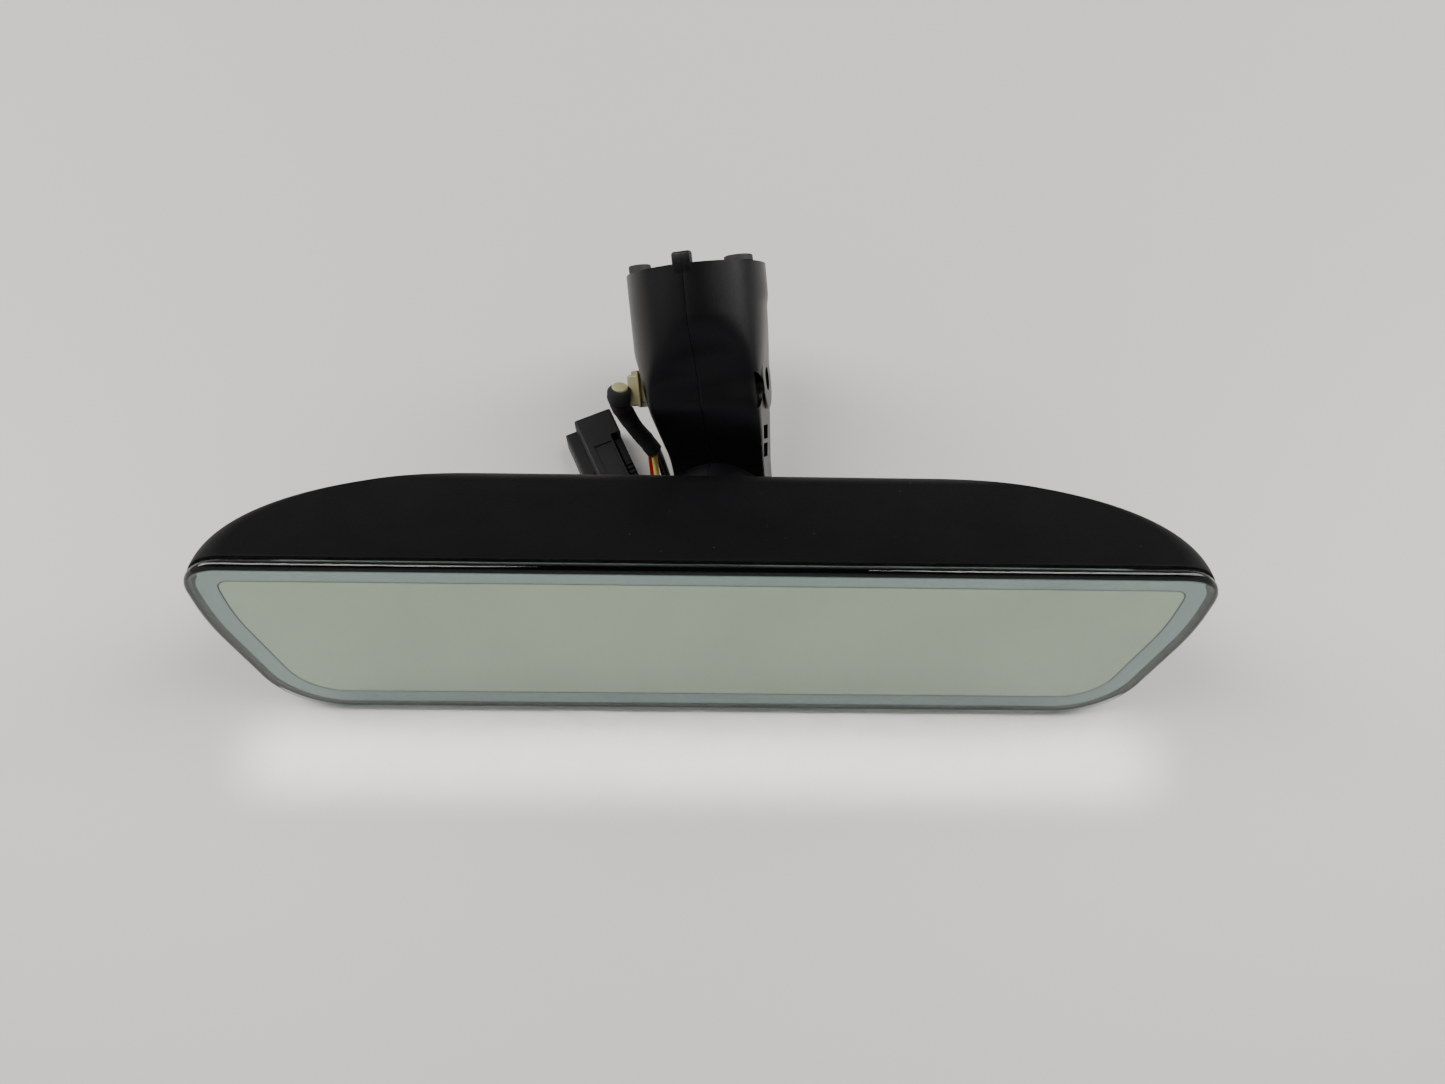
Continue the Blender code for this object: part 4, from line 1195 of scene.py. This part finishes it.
class MIRROR_OT_foot(bpy.types.Operator):
    """Bayonet ring, star spring and rubber pads in the foot"""

    bl_idname = "mirror.foot"
    bl_label = "Foot"

    def execute(self, context):
        steel = finish_for("zinc_plate")
        settle(make_bayonet_ring(), ARM, "arm", steel, ["bayonet_ring"])
        settle(make_star_spring(), ARM, "arm", steel, ["bayonet_spring"])
        for name, angle, radius, height in (("left", -168, 3.1, 2.7), ("right", -30, 3.9, 1.6)):
            pad = make_foot_pad(f"pad_{name}", math.radians(angle), radius, height)
            settle(pad, ARM, "arm", finish_for("pad_rubber"), [f"foot_pad_{name}"])
        return {"FINISHED"}


def make_bayonet_ring():
    """A rolled ring whose lip is cut back between its three lugs."""
    top = ARM_LENGTH - 1.0
    ring = add_rod("bayonet_lugs", (0, 0, top - 4.4), (0, 0, top), 15.6, 96)
    combine(ring, add_rod("bore", (0, 0, top - 6), (0, 0, top + 1), 12.4, 96))
    combine(ring, add_rod("groove", (0, 0, top - 6), (0, 0, top - 1.4), 14.0, 96))
    for index in range(3):
        slot = add_box("slot", (9, -5.2, top - 2), (14.0, 5.2, top + 1))
        slot.data.transform(Matrix.Rotation(math.radians(30 + 120 * index), 4, "Z"))
        combine(ring, slot)
    apply_modifier(ring, "BEVEL", width=0.15, segments=2, limit_method="ANGLE", angle_limit=math.radians(40))
    return ring


def make_star_spring():
    """A dished washer with slots that leave spring leaves at its rim."""
    low = ARM_LENGTH - 1.0 - 8.8
    profile = ((6, 0.0), (10.8, 0.0), (13.6, 1.8), (13.6, 2.6), (10.5, 0.8), (6, 0.8))
    around = 72
    rings = []
    for step in range(around):
        turn = 2 * math.pi * step / around
        run, rise = math.cos(turn), math.sin(turn)
        rings.append([(radius * run, radius * rise, low + height) for radius, height in profile])
    spring = loft("star_spring", rings, closed=True)
    for index in range(8):
        slot = add_box("leaf_slot", (9.5, -0.6, low - 1), (14.5, 0.6, low + 4))
        slot.data.transform(Matrix.Rotation(math.radians(45 * index), 4, "Z"))
        combine(spring, slot)
    return spring


def make_foot_pad(name, turn, radius, height):
    """A round pad with a rolled edge and a dimple."""
    centre = Vector((PAD_CIRCLE * math.cos(turn), PAD_CIRCLE * math.sin(turn), ARM_LENGTH + 0.15))
    pad = add_rod(name, centre, centre + Vector((0, 0, height)), radius)
    round_edges(pad, 0.35, 4, lambda edge: edge_middle(edge).z > ARM_LENGTH + 1 and is_corner(edge))
    open_with(pad, "FACE", lambda face: face.normal.z > 0.9 and face.calc_area() > 5)
    bpy.ops.mesh.inset(thickness=0.8)
    bpy.ops.transform.translate(value=(0, 0, -0.2))
    close_edit()
    return pad


CARRIED_FINISHES = {
    "bus_clip_top": "sprung_brass",
    "bus_clip_bottom": "sprung_brass",
    "foam_pad": "foam_open",
    "carrier_plate": "inner_moulding",
    "circuit_board": "board_resist",
    "control_chip": "chip_epoxy",
    "board_header": "signal_nylon",
    "glare_sensor": "smoked_clear",
    "ambient_sensor": "smoked_clear",
    "socket_screw_1": "zinc_plate",
    "socket_screw_2": "zinc_plate",
    "socket_screw_3": "zinc_plate",
    "socket_screw_4": "zinc_plate",
    "liner_cup_inner": "cup_acetal",
    "liner_cup_outer": "cup_acetal",
    "ball_stud": "zinc_plate",
    "arm_header": "inner_moulding",
}


class MIRROR_OT_carried(bpy.types.Operator):
    """Finishes for the solids that are shown as they are"""

    bl_idname = "mirror.carried"
    bl_label = "Inner finishes"

    def execute(self, context):
        for name, finish in CARRIED_FINISHES.items():
            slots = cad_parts[name].data.materials
            slots.clear()
            slots.append(finish_for(finish))
        return {"FINISHED"}


class MIRROR_OT_declare(bpy.types.Operator):
    """An empty step that changes nothing."""

    bl_idname = "mirror.declare"
    bl_label = "Declare cords"

    def execute(self, context):
        return {"FINISHED"}


BUILD_ORDER = ("stage", "loom", "connectors", "declare", "glass", "housing", "arm", "foot", "carried")


class MIRROR_PT_build(bpy.types.Panel):
    """Lists the build steps and their settings"""

    bl_label = "Rearview Mirror"
    bl_idname = "MIRROR_PT_build"
    bl_space_type = "VIEW_3D"
    bl_region_type = "UI"
    bl_category = "Mirror"

    def draw(self, context):
        for step in BUILD_ORDER:
            self.layout.operator(f"mirror.{step}")
        scene = context.scene
        for group in (scene.mirror_sizes, scene.mirror_finishes, scene.mirror_stage):
            box = self.layout.box()
            for name in group.__annotations__:
                box.prop(group, name)


CLASSES = (
    MirrorSizes,
    MirrorFinishes,
    MirrorStage,
    MIRROR_OT_stage,
    MIRROR_OT_loom,
    MIRROR_OT_connectors,
    MIRROR_OT_declare,
    MIRROR_OT_glass,
    MIRROR_OT_housing,
    MIRROR_OT_arm,
    MIRROR_OT_foot,
    MIRROR_OT_carried,
    MIRROR_PT_build,
)


def register():
    for item in CLASSES:
        bpy.utils.register_class(item)
    bpy.types.Scene.mirror_sizes = PointerProperty(type=MirrorSizes)
    bpy.types.Scene.mirror_finishes = PointerProperty(type=MirrorFinishes)
    bpy.types.Scene.mirror_stage = PointerProperty(type=MirrorStage)


def unregister():
    for name in ("mirror_sizes", "mirror_finishes", "mirror_stage"):
        delattr(bpy.types.Scene, name)
    for item in reversed(CLASSES):
        bpy.utils.unregister_class(item)


def main():
    register()
    for step in BUILD_ORDER:
        getattr(bpy.ops.mirror, step)()
    deselect()


if __name__ == "__main__":
    main()
